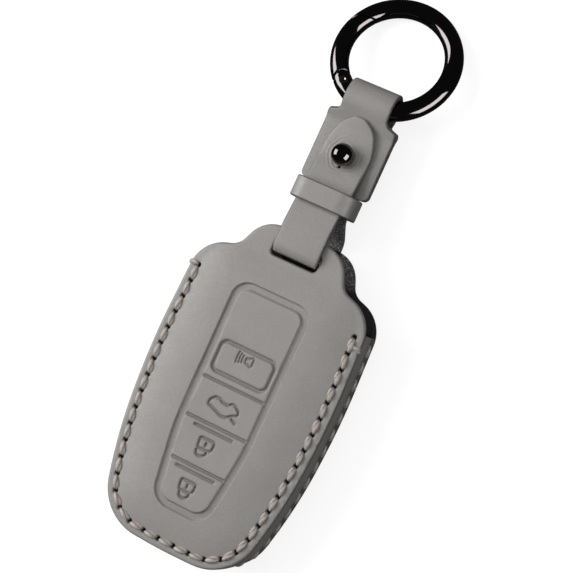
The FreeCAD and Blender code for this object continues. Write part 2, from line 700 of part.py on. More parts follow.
def stud_head():
    """Base, neck and ball of the stud, bored from below for its screw."""
    ball_level = PLATE_TOP + STUD_BALL_RISE
    base = upright(STUD_BASE_RADIUS, PLATE_TOP, PLATE_TOP + STUD_BASE_THICKNESS, y=STUD_PLACE)
    neck = upright(STUD_NECK_RADIUS, PLATE_TOP, ball_level, y=STUD_PLACE)
    ball = Part.makeSphere(STUD_BALL_RADIUS, Vector(0, STUD_PLACE, ball_level))
    bore = upright(
        STUD_SCREW_RADIUS, PLATE_TOP - OVERRUN, PLATE_TOP + STUD_SCREW_DEPTH, y=STUD_PLACE)
    return fused([base, neck, ball]).cut(bore)


def stud_screw():
    """The screw that holds the stud from behind, with a slotted head."""
    seat = PLATE_BOTTOM
    head = upright(SCREW_HEAD_RADIUS, seat - SCREW_HEAD_THICKNESS, seat, y=STUD_PLACE)
    shank = upright(
        STUD_SCREW_RADIUS - STUD_SCREW_GAP,
        seat - SCREW_HEAD_THICKNESS, PLATE_TOP + STUD_SCREW_DEPTH - STUD_SCREW_GAP, y=STUD_PLACE)
    slot = block(
        Vector(-SCREW_HEAD_RADIUS, STUD_PLACE - SCREW_SLOT_WIDTH / 2, seat - SCREW_HEAD_THICKNESS),
        Vector(SCREW_HEAD_RADIUS, STUD_PLACE + SCREW_SLOT_WIDTH / 2,
               seat - SCREW_HEAD_THICKNESS + SCREW_SLOT_DEPTH),
    )
    return fused([head, shank]).cut(slot)


# Ring, modelled flat about its own centre with the strap towards -Y, then hung in the strap


def on_ring(radius, degrees):
    """A point of the ring's plane."""
    angle = math.radians(degrees)
    return Vector(radius * math.cos(angle), radius * math.sin(angle), 0)


HINGE = on_ring(RING_MEAN_RADIUS, GATE_HINGE_DEG)
GATE_REACH = HINGE.distanceToPoint(on_ring(RING_MEAN_RADIUS + WIRE_RADIUS, GATE_END_DEG))


def about_hinge(radius, half_thickness=WIRE_RADIUS + OVERRUN):
    """A disc about the gate's hinge."""
    return upright(radius, -half_thickness, half_thickness, HINGE.x, HINGE.y)


def gate_side():
    """Half of the ring's plane, on the gate's side of a line through the centre and the hinge."""
    size = 2 * (RING_MEAN_RADIUS + WIRE_RADIUS)
    half = block(Vector(-size, -size, -size), Vector(size, 0, size))
    half.rotate(Vector(), Vector(0, 0, 1), GATE_HINGE_DEG)
    return half


def gate_space(gap):
    """The space of the gate: out to its end, which is stepped under the ring's lip."""
    lip = about_hinge(GATE_REACH - GATE_LIP_LENGTH - GATE_GAP + gap)
    under_lip = about_hinge(GATE_REACH + gap).common(upright(
        RING_MEAN_RADIUS + GATE_LIP_RISE + gap, -WIRE_RADIUS - OVERRUN, WIRE_RADIUS + OVERRUN))
    return lip.fuse(under_lip).common(gate_side())


def plunger_along(radius, start, end):
    """A cylinder on the plunger's axis, between two distances from the hinge."""
    tangent = GATE_HINGE_DEG + 90 + BORE_TURN_DEG
    direction = on_ring(1, tangent)
    return Part.makeCylinder(radius, end - start, HINGE + direction * start, direction)


def full_ring():
    """The whole ring before it is parted."""
    return Part.makeTorus(RING_MEAN_RADIUS, WIRE_RADIUS)


def ring_body():
    """The fixed part of the ring: lip, forked hinge end and the plunger's bore."""
    beyond_cheeks = gate_space(GATE_GAP).cut(about_hinge(CHEEK_RADIUS))
    fork = about_hinge(
        CHEEK_RADIUS + CHEEK_GAP, KNUCKLE_THICKNESS / 2 + KNUCKLE_SIDE_GAP)
    pin_hole = about_hinge(PIN_RADIUS)
    bore = plunger_along(BORE_RADIUS, 0, CHEEK_RADIUS + BORE_DEPTH)
    return full_ring().cut(beyond_cheeks).cut([fork, pin_hole, bore])


def ring_gate():
    """The gate, with a knuckle between the cheeks and a flat heel for the plunger."""
    arm = full_ring().common(gate_space(0.0))
    half = KNUCKLE_THICKNESS / 2
    cheek_room = about_hinge(CHEEK_RADIUS + CHEEK_GAP)
    knuckle = about_hinge(KNUCKLE_RADIUS, half)
    web = arm.common(about_hinge(CHEEK_RADIUS + CHEEK_GAP, half))
    heel = plunger_along(2 * WIRE_RADIUS, HEEL_FLAT_DISTANCE, 2 * WIRE_RADIUS)
    eye = fused([knuckle, web]).cut(heel)
    return fused([arm.cut(cheek_room), eye]).cut(about_hinge(PIN_RADIUS + PIN_GAP))


def gate_pin():
    """The riveted hinge pin, with a low head on each side of the ring."""
    pin = about_hinge(PIN_RADIUS, WIRE_RADIUS + PIN_HEAD_THICKNESS)
    heads = [
        upright(PIN_HEAD_RADIUS, WIRE_RADIUS, WIRE_RADIUS + PIN_HEAD_THICKNESS, HINGE.x, HINGE.y),
        upright(PIN_HEAD_RADIUS, -WIRE_RADIUS - PIN_HEAD_THICKNESS, -WIRE_RADIUS, HINGE.x, HINGE.y),
    ]
    return fused([pin] + heads)


def gate_plunger():
    """The little pin that the spring pushes against the gate's heel."""
    start = HEEL_FLAT_DISTANCE + PLUNGER_GAP
    return plunger_along(PLUNGER_RADIUS, start, start + PLUNGER_LENGTH)


def gate_spring():
    """The spring behind the plunger, as a sleeve of the coil's size."""
    start = HEEL_FLAT_DISTANCE + PLUNGER_GAP + PLUNGER_LENGTH
    end = CHEEK_RADIUS + BORE_DEPTH
    sleeve = plunger_along(SPRING_OUTER_RADIUS, start, end)
    return sleeve.cut(plunger_along(SPRING_OUTER_RADIUS - SPRING_WIRE, start - OVERRUN, end + OVERRUN))


def hung(shape):
    """A piece of the ring, tilted down in the strap's loop until the ring meets the table."""
    tilt = Rotation(Vector(1, 0, 0), -RING_TILT_DEG)
    arm = Vector(0, RING_MEAN_RADIUS - SWING_OFFSET, 0)
    place = Vector(0, LOOP_HEIGHT, HEAD_LEVEL) + tilt.multVec(arm)
    laid = shape.copy()
    laid.Placement = Placement(place, tilt) * laid.Placement
    return laid


def pieces():
    """Every node of the part with its shape."""
    up, down = Vector(0, 0, 1), Vector(0, 0, -1)
    made = {
        "front_panel": front_panel(),
        "front_lining": front_lining(),
        "rear_panel": to_rear(plain_panel()),
        "rear_lining": to_rear(plain_lining()),
        "side_gusset": side_gusset(),
        "front_stitching": Part.makeCompound(seam(STITCH_INSET, FRONT_RIM_TOP, up)),
        "rear_stitching": Part.makeCompound(
            seam(STITCH_INSET, CROWN_RISE, down) + seam(-SIDE_SEAM_GAP, REAR_RIM_TOP + SIDE_SEAM_RISE)),
        "seam_wraps": Part.makeCompound(seam_wraps()),
        "strap_loop": strap_loop(),
        "strap_plate": strap_plate(),
        "tongue_flap": tongue_flap(),
        "strap_keeper": strap_keeper(),
        "stud_head": stud_head(),
        "stud_screw": stud_screw(),
        "ring_body": hung(ring_body()),
        "ring_gate": hung(ring_gate()),
        "gate_pin": hung(gate_pin()),
        "gate_plunger": hung(gate_plunger()),
        "gate_spring": hung(gate_spring()),
    }
    made.update(pads())
    return made


def main():
    """Write each piece, moved so that the origin is the middle of the rear face."""
    os.makedirs("parts", exist_ok=True)
    to_origin = Vector(0, -CASE_LENGTH / 2, 0)
    for name, shape in pieces().items():
        placed = shape.copy()
        placed.translate(to_origin)
        placed.exportStep(f"parts/{name}.step")
        print(f"{name}: {len(placed.Solids)} solids, {placed.Volume:.1f} mm3, valid {placed.isValid()}")


main()
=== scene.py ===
"""Looks of the key fob cover: moulded leather, saddle stitching, strap, ball stud and spring gate ring.

Lengths are in millimetres. A height is counted along Y from the cover's lower edge, as on a maker's
drawing, and a level along Z from the surface that the cover lies on. Meshes are moved to the frame's
own origin and metres when they are made.
"""

import json
import logging
import math
from dataclasses import dataclass, field
from enum import Enum
from typing import Optional

import bpy
import numpy as np
from mathutils import Matrix, Vector


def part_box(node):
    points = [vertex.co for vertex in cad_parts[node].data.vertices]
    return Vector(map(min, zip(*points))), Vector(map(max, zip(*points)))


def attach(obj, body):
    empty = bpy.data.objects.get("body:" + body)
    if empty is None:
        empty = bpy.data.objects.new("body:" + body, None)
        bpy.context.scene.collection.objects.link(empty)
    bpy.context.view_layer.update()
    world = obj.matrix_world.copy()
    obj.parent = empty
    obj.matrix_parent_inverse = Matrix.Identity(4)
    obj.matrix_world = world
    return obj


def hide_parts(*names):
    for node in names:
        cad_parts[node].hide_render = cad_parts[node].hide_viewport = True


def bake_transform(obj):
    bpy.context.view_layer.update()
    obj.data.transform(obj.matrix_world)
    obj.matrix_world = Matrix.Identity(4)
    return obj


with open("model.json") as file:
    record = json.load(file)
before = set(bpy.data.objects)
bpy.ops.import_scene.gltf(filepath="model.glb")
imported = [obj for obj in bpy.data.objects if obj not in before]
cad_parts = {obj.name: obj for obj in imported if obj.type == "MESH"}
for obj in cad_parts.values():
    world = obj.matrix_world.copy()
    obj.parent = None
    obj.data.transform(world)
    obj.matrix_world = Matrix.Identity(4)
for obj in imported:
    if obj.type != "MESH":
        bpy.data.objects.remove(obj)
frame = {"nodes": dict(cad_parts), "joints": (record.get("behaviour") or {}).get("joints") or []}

LOG = logging.getLogger("key_fob_cover")
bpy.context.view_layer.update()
METRES = 0.001
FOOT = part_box("front_panel")[0].y / METRES
# Share of near black painted shade on undersides; edge walls darken towards them
UNDERSIDE_PAINTED_SHADE = 0.9
FINE_ARC = 25
PAIRS_AT_ONCE = 2_000_000
Corner = tuple[float, float, float]
Colour = tuple[float, float, float]
Triple = tuple[float, float, float]
Finishes = dict[str, bpy.types.Material]
Socket = bpy.types.NodeSocket
EVEN: Triple = (1.0, 1.0, 1.0)


class Body(Enum):
    """Bodies of the frame that pieces ride on."""

    CASE = "case"
    STRAP_HEAD = "strap_head"
    KEEPER = "keeper"
    TONGUE = "tongue"
    RING = "ring"
    GATE = "gate"
    ALARM = "alarm_pad"
    TRUNK = "trunk_pad"
    UNLOCK = "unlock_pad"
    LOCK = "lock_pad"


class Slot(Enum):
    """Material slots of the record."""

    LEATHER = "leather"
    THREAD = "thread"
    BLACK_NICKEL = "black_nickel"


# Flat outlines


def unit(vectors: np.ndarray) -> np.ndarray:
    """Vectors of length one along the given ones."""
    return vectors / np.linalg.norm(vectors, axis=-1, keepdims=True)


@dataclass(frozen=True)
class Outline:
    """A flat outline of straight runs whose corners are rounded.

    Attributes:
        corners: (x, height, radius) of each corner, anticlockwise.
        closed: whether the last corner joins the first.
    """

    corners: tuple[Corner, ...]
    closed: bool = True

    @staticmethod
    def mirrored(half: list[Corner]) -> "Outline":
        """A closed outline from its right half, listed from the foot upwards."""
        left = [(-x, y, radius) for x, y, radius in reversed(half) if x > 0]
        return Outline(tuple(half + left))

    def directions(self) -> tuple[np.ndarray, np.ndarray]:
        """Directions of the runs beside the corners.

        Returns:
            The directions into and out of each corner.
        """
        points = np.array(self.corners)[:, :2]
        after = unit(np.roll(points, -1, axis=0) - points)
        before = np.roll(after, 1, axis=0)
        if not self.closed:
            before[0] = after[0]
            after[-1] = before[-1]
        return before, after

    def moved(self, distance: float) -> "Outline":
        """The outline moved to its left, which is inwards where it is closed.

        Args:
            distance: how far each run moves.

        Returns:
            The moved outline, with its corner radii made smaller or larger to match.
        """
        before, after = self.directions()
        shift = distance / (1 + (before * after).sum(axis=1))
        turn = before[:, 0] * after[:, 1] - before[:, 1] * after[:, 0]
        normal = np.stack([-(before + after)[:, 1], (before + after)[:, 0]], axis=1)
        table = np.array(self.corners)
        points = table[:, :2] + normal * shift[:, None]
        radii = np.where(table[:, 2] > 0, np.maximum(table[:, 2] - np.sign(turn) * distance, 0), 0)
        return Outline(tuple(map(tuple, np.column_stack([points, radii]))), self.closed)

    def polyline(self, arc_points: int = 13) -> np.ndarray:
        """Points along the runs and arcs; an arc is limited by the runs beside it.

        Args:
            arc_points: points on each arc.

        Returns:
            An array of (x, height).
        """
        table = np.array(self.corners)
        points, radii = table[:, :2], table[:, 2]
        before, after = self.directions()
        half_turn = np.arccos(np.clip((before * after).sum(axis=1), -1, 1)) / 2
        back = radii * np.tan(half_turn)
        length = np.linalg.norm(np.roll(points, -1, axis=0) - points, axis=1)
        fit = np.minimum(1, length / np.maximum(back + np.roll(back, -1), 1e-9))
        if not self.closed:
            fit[-1] = 1
        back = back * np.minimum(fit, np.roll(fit, 1))
        line = []
        for corner, way_in, way_out, cut, half in zip(points, before, after, back, half_turn):
            if cut < 1e-6:
                line.append(corner[None])
                continue
            turn = np.linspace(-half, half, arc_points)[:, None]
            middle = unit(way_out - way_in)
            along = unit(way_in + way_out)
            radius = cut / math.tan(half)
            centre = corner + middle * radius / math.cos(half)
            line.append(centre - middle * radius * np.cos(turn) + along * radius * np.sin(turn))
        return np.concatenate(line)


def resampled(line: np.ndarray, count: int, closed: bool = False) -> np.ndarray:
    """Evenly spaced points along a polyline.

    Args:
        line: points of the polyline.
        count: how many points to return.
        closed: whether the last point joins the first, in which case it isn't repeated.

    Returns:
        The points, the ends included where the line is open.
    """
    whole = np.concatenate([line, line[:1]]) if closed else line
    run = np.concatenate([[0], np.cumsum(np.linalg.norm(np.diff(whole, axis=0), axis=1))])
    places = np.linspace(0, run[-1], count, endpoint=not closed)
    return np.stack([np.interp(places, run, whole[:, axis]) for axis in range(whole.shape[1])], axis=1)


def left_normals(line: np.ndarray, closed: bool = False) -> np.ndarray:
    """Directions to the left of a flat polyline, by central differences.

    Args:
        line: points of the polyline.
        closed: whether the last point joins the first.

    Returns:
        One direction to a point.
    """
    if closed:
        along = np.roll(line, -1, axis=0) - np.roll(line, 1, axis=0)
    else:
        along = np.gradient(line, axis=0)
    along = unit(along)
    return np.stack([-along[:, 1], along[:, 0]], axis=1)


def nearest(points: np.ndarray, line: np.ndarray, closed: bool = True) -> tuple[np.ndarray, np.ndarray]:
    """Distance from points to a polyline, and the nearest place on it.

    Each run is tested as a whole array: the foot of the perpendicular is kept within the run, and the
    run with the least distance counts.

    Args:
        points: array of (x, height).
        line: points of the polyline.
        closed: whether the last point joins the first.

    Returns:
        The distances and the nearest places.
    """
    start = line if closed else line[:-1]
    run = (np.roll(line, -1, axis=0) if closed else line[1:]) - start
    square = np.maximum((run * run).sum(axis=1), 1e-12)
    distances, places = [], []
    for part in np.array_split(points, max(1, len(points) * len(start) // PAIRS_AT_ONCE)):
        share = np.clip(((part[:, None] - start) * run).sum(axis=2) / square, 0, 1)
        foot = start + share[:, :, None] * run
        gap = np.linalg.norm(part[:, None] - foot, axis=2)
        best = gap.argmin(axis=1)
        rows = np.arange(len(part))
        distances.append(gap[rows, best])
        places.append(foot[rows, best])
    return np.concatenate(distances), np.concatenate(places)


def is_inside(points: np.ndarray, line: np.ndarray) -> np.ndarray:
    """Whether points lie within a closed polyline: a ray to the right crosses it an odd number of times.

    Args:
        points: array of (x, height).
        line: points of the polyline.

    Returns:
        One answer to a point.
    """
    x0, y0 = line.T
    x1, y1 = np.roll(line, -1, axis=0).T
    found = []
    for part in np.array_split(points, max(1, len(points) * len(line) // (2 * PAIRS_AT_ONCE))):
        x, y = part[:, :1], part[:, 1:]
        spans = (y0 > y) != (y1 > y)
        rise = np.where(y1 == y0, 1e-12, y1 - y0)
        crosses = spans & (x < x0 + (y - y0) * (x1 - x0) / rise)
        found.append(crosses.sum(axis=1) % 2 == 1)
    return np.concatenate(found)


def depth_inside(points: np.ndarray, line: np.ndarray) -> np.ndarray:
    """How far points lie inside a closed polyline; negative outside it."""
    gap, _ = nearest(points, line)
    return np.where(is_inside(points, line), gap, -gap)


def ease(share: np.ndarray) -> np.ndarray:
    """A smooth step from 0 to 1 with level ends: 3t^2 - 2t^3, t kept from 0 to 1."""
    t = np.clip(share, 0, 1)
    return t * t * (3 - 2 * t)


def rolled(depth: np.ndarray, radius: float) -> np.ndarray:
    """Drop of a rounded edge: a quarter circle of the radius, by the depth from the edge."""
    t = np.clip(radius - depth, 0, radius)
    return radius - np.sqrt(np.maximum(radius * radius - t * t, 0))


# Meshes


@dataclass
class Shape:
    """Points and faces of one closed surface.

    Attributes:
        points: array of (x, height, level).
        faces: arrays of point numbers, each array with one count of corners.
        marks: named values, one to a point, that materials read.
        finishes: material number of each face of the arrays in faces, or none.
    """

    points: np.ndarray
    faces: list[np.ndarray]
    marks: dict[str, np.ndarray] = field(default_factory=dict)
    finishes: Optional[list[np.ndarray]] = None

    @staticmethod
    def joined(shapes: list["Shape"]) -> "Shape":
        """Several shapes without finishes as one.

        Args:
            shapes: shapes with the same marks.

        Returns:
            The joined shape.
        """
        starts = np.cumsum([0] + [len(shape.points) for shape in shapes])
        faces = [face + start for shape, start in zip(shapes, starts) for face in shape.faces]
        marks = {name: np.concatenate([shape.marks[name] for shape in shapes]) for name in shapes[0].marks}
        return Shape(np.concatenate([shape.points for shape in shapes]), faces, marks)


def grid_faces(rows: int, columns: int, round_rows: bool = False, round_columns: bool = False) -> np.ndarray:
    """Quads of a grid of points that is stored row by row.

    Args:
        rows: points along the first parameter.
        columns: points along the second parameter.
        round_rows: whether the last row joins the first.
        round_columns: whether the last column joins the first.

    Returns:
        An array of four point numbers to a quad.
    """
    number = np.arange(rows * columns).reshape(rows, columns)
    if round_rows:
        number = np.concatenate([number, number[:1]])
    if round_columns:
        number = np.concatenate([number, number[:, :1]], axis=1)
    corners = [number[:-1, :-1], number[1:, :-1], number[1:, 1:], number[:-1, 1:]]
    return np.stack([corner.ravel() for corner in corners], axis=1)


def end_caps(rows: int, columns: int) -> list[np.ndarray]:
    """Faces that close the two ends of a tube, a grid whose last column joins the first."""
    ring = np.arange(columns)
    return [np.array([ring]), np.array([ring[::-1] + (rows - 1) * columns])]


def dress_node(node: str, material: bpy.types.Material) -> None:
    """Gives a finish to a node that keeps the frame's own shape.

    Args:
        node: name of the node.
        material: its finish.
    """
    materials = frame["nodes"][node].data.materials
    materials.clear()
    materials.append(material)


def make_piece(name: str, shape: Shape, materials: list[bpy.types.Material],
               sharp_deg: float = 38.0) -> bpy.types.Object:
    """Puts a shape into a mesh object at the origin, in the frame's metres.

    Args:
        name: name of the piece.
        shape: its points, faces and marks.
        materials: its materials, in the order of the shape's finishes.
        sharp_deg: edges that turn by more than this are shaded sharp.

    Returns:
        The object, with smooth faces.
    """
    mesh = bpy.data.meshes.new(name)
    sizes = np.concatenate([np.full(len(face), face.shape[1]) for face in shape.faces])
    corners = np.concatenate([face.ravel() for face in shape.faces])
    mesh.vertices.add(len(shape.points))
    mesh.vertices.foreach_set("co", ((shape.points + (0, FOOT, 0)) * METRES).ravel())
    mesh.loops.add(len(corners))
    mesh.loops.foreach_set("vertex_index", corners)
    mesh.polygons.add(len(sizes))
    mesh.polygons.foreach_set("loop_start", np.cumsum(sizes) - sizes)
    if shape.finishes is not None:
        mesh.polygons.foreach_set("material_index", np.concatenate(shape.finishes))
    mesh.update(calc_edges=True)
    mesh.polygons.foreach_set("use_smooth", np.ones(len(sizes), dtype=bool))
    mesh.set_sharp_from_angle(angle=math.radians(sharp_deg))
    for mark, values in shape.marks.items():
        mesh.attributes.new(mark, "FLOAT", "POINT").data.foreach_set("value", values.astype(np.float32))
    for material in materials:
        mesh.materials.append(material)
    mesh.validate()
    piece = bpy.data.objects.new(name, mesh)
    bpy.context.scene.collection.objects.link(piece)
    LOG.info("%s: %d points, %d faces", name, len(shape.points), len(sizes))
    return piece


@dataclass
class TrimmedGrid:
    """A square grid of flat points, trimmed to outlines, with the edge points moved onto them.

    Attributes:
        points: array of (x, height).
        faces: quads and the triangles beside the edge.
        depth: distance of each point from the nearest edge.
    """

    points: np.ndarray
    faces: list[np.ndarray]
    depth: np.ndarray

    @staticmethod
    def cut(spacing: float, outside: np.ndarray, holes: list[np.ndarray]) -> "TrimmedGrid":
        """Lays a grid within one closed polyline and outside others.

        A point within half a step of an edge moves onto it. A cell stays where its four corners do,
        and leaves a triangle where three of them do.

        Args:
            spacing: step of the grid.
            outside: the outer edge.
            holes: edges of the holes.

        Returns:
            The trimmed grid.
        """
        low, high = outside.min(axis=0), outside.max(axis=0)
        steps = np.ceil((high - low) / spacing).astype(int) + 3
        axes = [low[axis] + (np.arange(steps[axis]) - 1) * spacing for axis in range(2)]
        points = np.stack(np.meshgrid(*axes, indexing="ij"), axis=-1).reshape(-1, 2)
        depth = depth_inside(points, outside)
        _, place = nearest(points, outside)
        for hole in holes:
            gap, beside = nearest(points, hole)
            outward = np.where(is_inside(points, hole), -gap, gap)
            nearer = outward < depth
            depth = np.where(nearer, outward, depth)
            place = np.where(nearer[:, None], beside, place)
        on_edge = np.abs(depth) <= spacing / 2
        points = np.where(on_edge[:, None], place, points)
        kept = on_edge | (depth > 0)
        cells = grid_faces(*steps)
        corners_kept = kept[cells].sum(axis=1)
        inner = ~on_edge[cells].all(axis=1)
        quads = cells[(corners_kept == 4) & inner]
        three = cells[(corners_kept == 3) & (kept & ~on_edge)[cells].any(axis=1)]
        triangles = three[kept[three]].reshape(-1, 3)
        used = np.unique(np.concatenate([quads.ravel(), triangles.ravel()]))
        renumber = np.zeros(len(points), dtype=int)
        renumber[used] = np.arange(len(used))
        faces = [renumber[quads], renumber[triangles]]
        return TrimmedGrid(points[used], faces, np.where(on_edge, 0, depth)[used])

    def rim(self) -> np.ndarray:
        """Edges that only one face has.

        Returns:
            The two points of each edge, in the direction of its face.
        """
        edges = np.concatenate([
            np.stack([face, np.roll(face, -1, axis=1)], axis=2).reshape(-1, 2) for face in self.faces])
        count = len(self.points)
        forward = edges[:, 0] * count + edges[:, 1]
        backward = edges[:, 1] * count + edges[:, 0]
        return edges[~np.isin(forward, backward)]

    def solid(self, top: np.ndarray, under: np.ndarray, marks: dict[str, np.ndarray],
              under_marks: Optional[dict[str, np.ndarray]] = None) -> Shape:
        """A closed shape between two surfaces over the grid, with a wall along its edges.

        Args:
            top: points of the upper surface.
            under: points of the lower surface.
            marks: named values of the grid's points.
            under_marks: those of the lower surface where they differ.

        Returns:
            The closed shape.
        """
        count = len(self.points)
        edges = self.rim()
        wall = np.stack([edges[:, 0], edges[:, 0] + count, edges[:, 1] + count, edges[:, 1]], axis=1)
        beneath = [face[:, ::-1] + count for face in self.faces]
        beneath_marks = {**marks, **(under_marks or {})}
        both = {name: np.concatenate([values, beneath_marks[name]]) for name, values in marks.items()}
        return Shape(np.concatenate([top, under]), self.faces + beneath + [wall], both)

    def levelled(self, top: np.ndarray, under: np.ndarray, marks: dict[str, np.ndarray]) -> Shape:
        """A closed shape between two levels over the grid, with near black painted shade on its underside."""
        sides = [np.column_stack([self.points, level]) for level in (top, under)]
        return self.solid(*sides, marks, {"hole": np.full(len(top), UNDERSIDE_PAINTED_SHADE)})


@dataclass(frozen=True)
class SidePath:
    """A path seen from the side, in heights and levels, with its direction and its outer side.

    Attributes:
        places: array of (height, level).
        normals: directions to the left of the path.
    """

    places: np.ndarray
    normals: np.ndarray

    @staticmethod
    def along(corners: tuple[Corner, ...], spacing: float) -> "SidePath":
        """An evenly spaced path along rounded corners.

        Args:
            corners: (height, level, radius) of each corner.
            spacing: step along the path.

        Returns:
            The path.
        """
        line = Outline(corners, closed=False).polyline(17)
        length = np.linalg.norm(np.diff(line, axis=0), axis=1).sum()
        places = resampled(line, max(3, int(length / spacing)))
        return SidePath(places, left_normals(places))


def leather_section() -> tuple[np.ndarray, np.ndarray, np.ndarray]:
    """Cross-section of a strip of leather with rounded edges, anticlockwise seen along the strip.

    Returns:
        For each point: its share of the half width, its side of the middle (1 or -1), and its direction
        from the middle of the rounded edge as (across, outwards).
    """
    flat = np.linspace(-1, 1, 12)
    turn = np.linspace(0, math.pi / 2, 5)[1:-1]
    ones = np.ones(len(turn))
    share = np.concatenate([flat[::-1], -ones, -ones, flat, ones, ones])
    half_side = np.concatenate([np.ones(len(flat)), ones, -ones])
    half_curl = np.concatenate([
        np.tile((0.0, 1.0), (len(flat), 1)),
        np.column_stack([-np.sin(turn), np.cos(turn)]),
        np.column_stack([-np.cos(turn), -np.sin(turn)]),
    ])
    return share, np.concatenate([half_side, -half_side]), np.concatenate([half_curl, -half_curl])


def strip(path: SidePath, half_widths: np.ndarray, thickness: float, edge_radius: float,
          closed: bool = False) -> Shape:
    """A strip of leather: a rounded section carried along a side path, with a half width at each place.

    The point at share s of the section is x = s (w - r) + r c, and its offset from the path along the
    normal is the side times (t/2 - r) + r d, where (c, d) is the quarter circle of the rounded edge.

    Args:
        path: middle of the strip.
        half_widths: half width at each place of the path.
        thickness: of the leather.
        edge_radius: of its long edges.
        closed: whether the strip is an endless band.

    Returns:
        The closed strip. The mark edge is 1 on its cut edges, and the first finish is the path's left.
    """
    share, side, curl = leather_section()
    x = share * (half_widths[:, None] - edge_radius) + edge_radius * curl[:, 0]
    out = side * (thickness / 2 - edge_radius) + edge_radius * curl[:, 1]
    place = path.places[:, None] + path.normals[:, None] * out[None, :, None]
    points = np.concatenate([x[:, :, None], place], axis=2)
    rows, columns = x.shape
    quads = grid_faces(rows, columns, round_rows=closed, round_columns=True)
    is_under = np.all(side[quads % columns] < 0, axis=1)
    edge = np.tile((np.abs(curl[:, 0]) > 0.05).astype(float), rows)
    faces, finishes = [quads], [is_under.astype(int)]
    if not closed:
        faces += end_caps(rows, columns)
        finishes += [np.zeros(1, dtype=int), np.zeros(1, dtype=int)]
        edge.reshape(rows, columns)[[0, -1]] = 1
    return Shape(points.reshape(-1, 3), faces, {"edge": edge}, finishes)


def revolved(profile: np.ndarray, x: float, height: float, around: int = 64) -> Shape:
    """A turned shape about an upright axis: radius and level of the profile carried round a circle.

    Args:
        profile: array of (radius, level) from the lower pole to the upper pole, both of radius zero.
        x: place of the axis.
        height: place of the axis.
        around: points round the axis.

    Returns:
        The closed shape.
    """
    turn = np.linspace(0, 2 * math.pi, around, endpoint=False)
    rings = profile[1:-1]
    points = np.stack([
        x + rings[:, :1] * np.cos(turn),
        height + rings[:, :1] * np.sin(turn),
        rings[:, 1:] + 0 * turn,
    ], axis=2).reshape(-1, 3)
    poles = np.array([(x, height, profile[0, 1]), (x, height, profile[-1, 1])])
    count = len(points)
    ring = np.arange(around)
    after = np.roll(ring, -1)
    top = count - around
    fans = np.concatenate([
        np.stack([after, ring, np.full(around, count)], axis=1),
        np.stack([ring + top, after + top, np.full(around, count + 1)], axis=1),
    ])
    quads = grid_faces(len(rings), around, round_columns=True)[:, ::-1]
    return Shape(np.concatenate([points, poles]), [quads, fans])


# Finishes


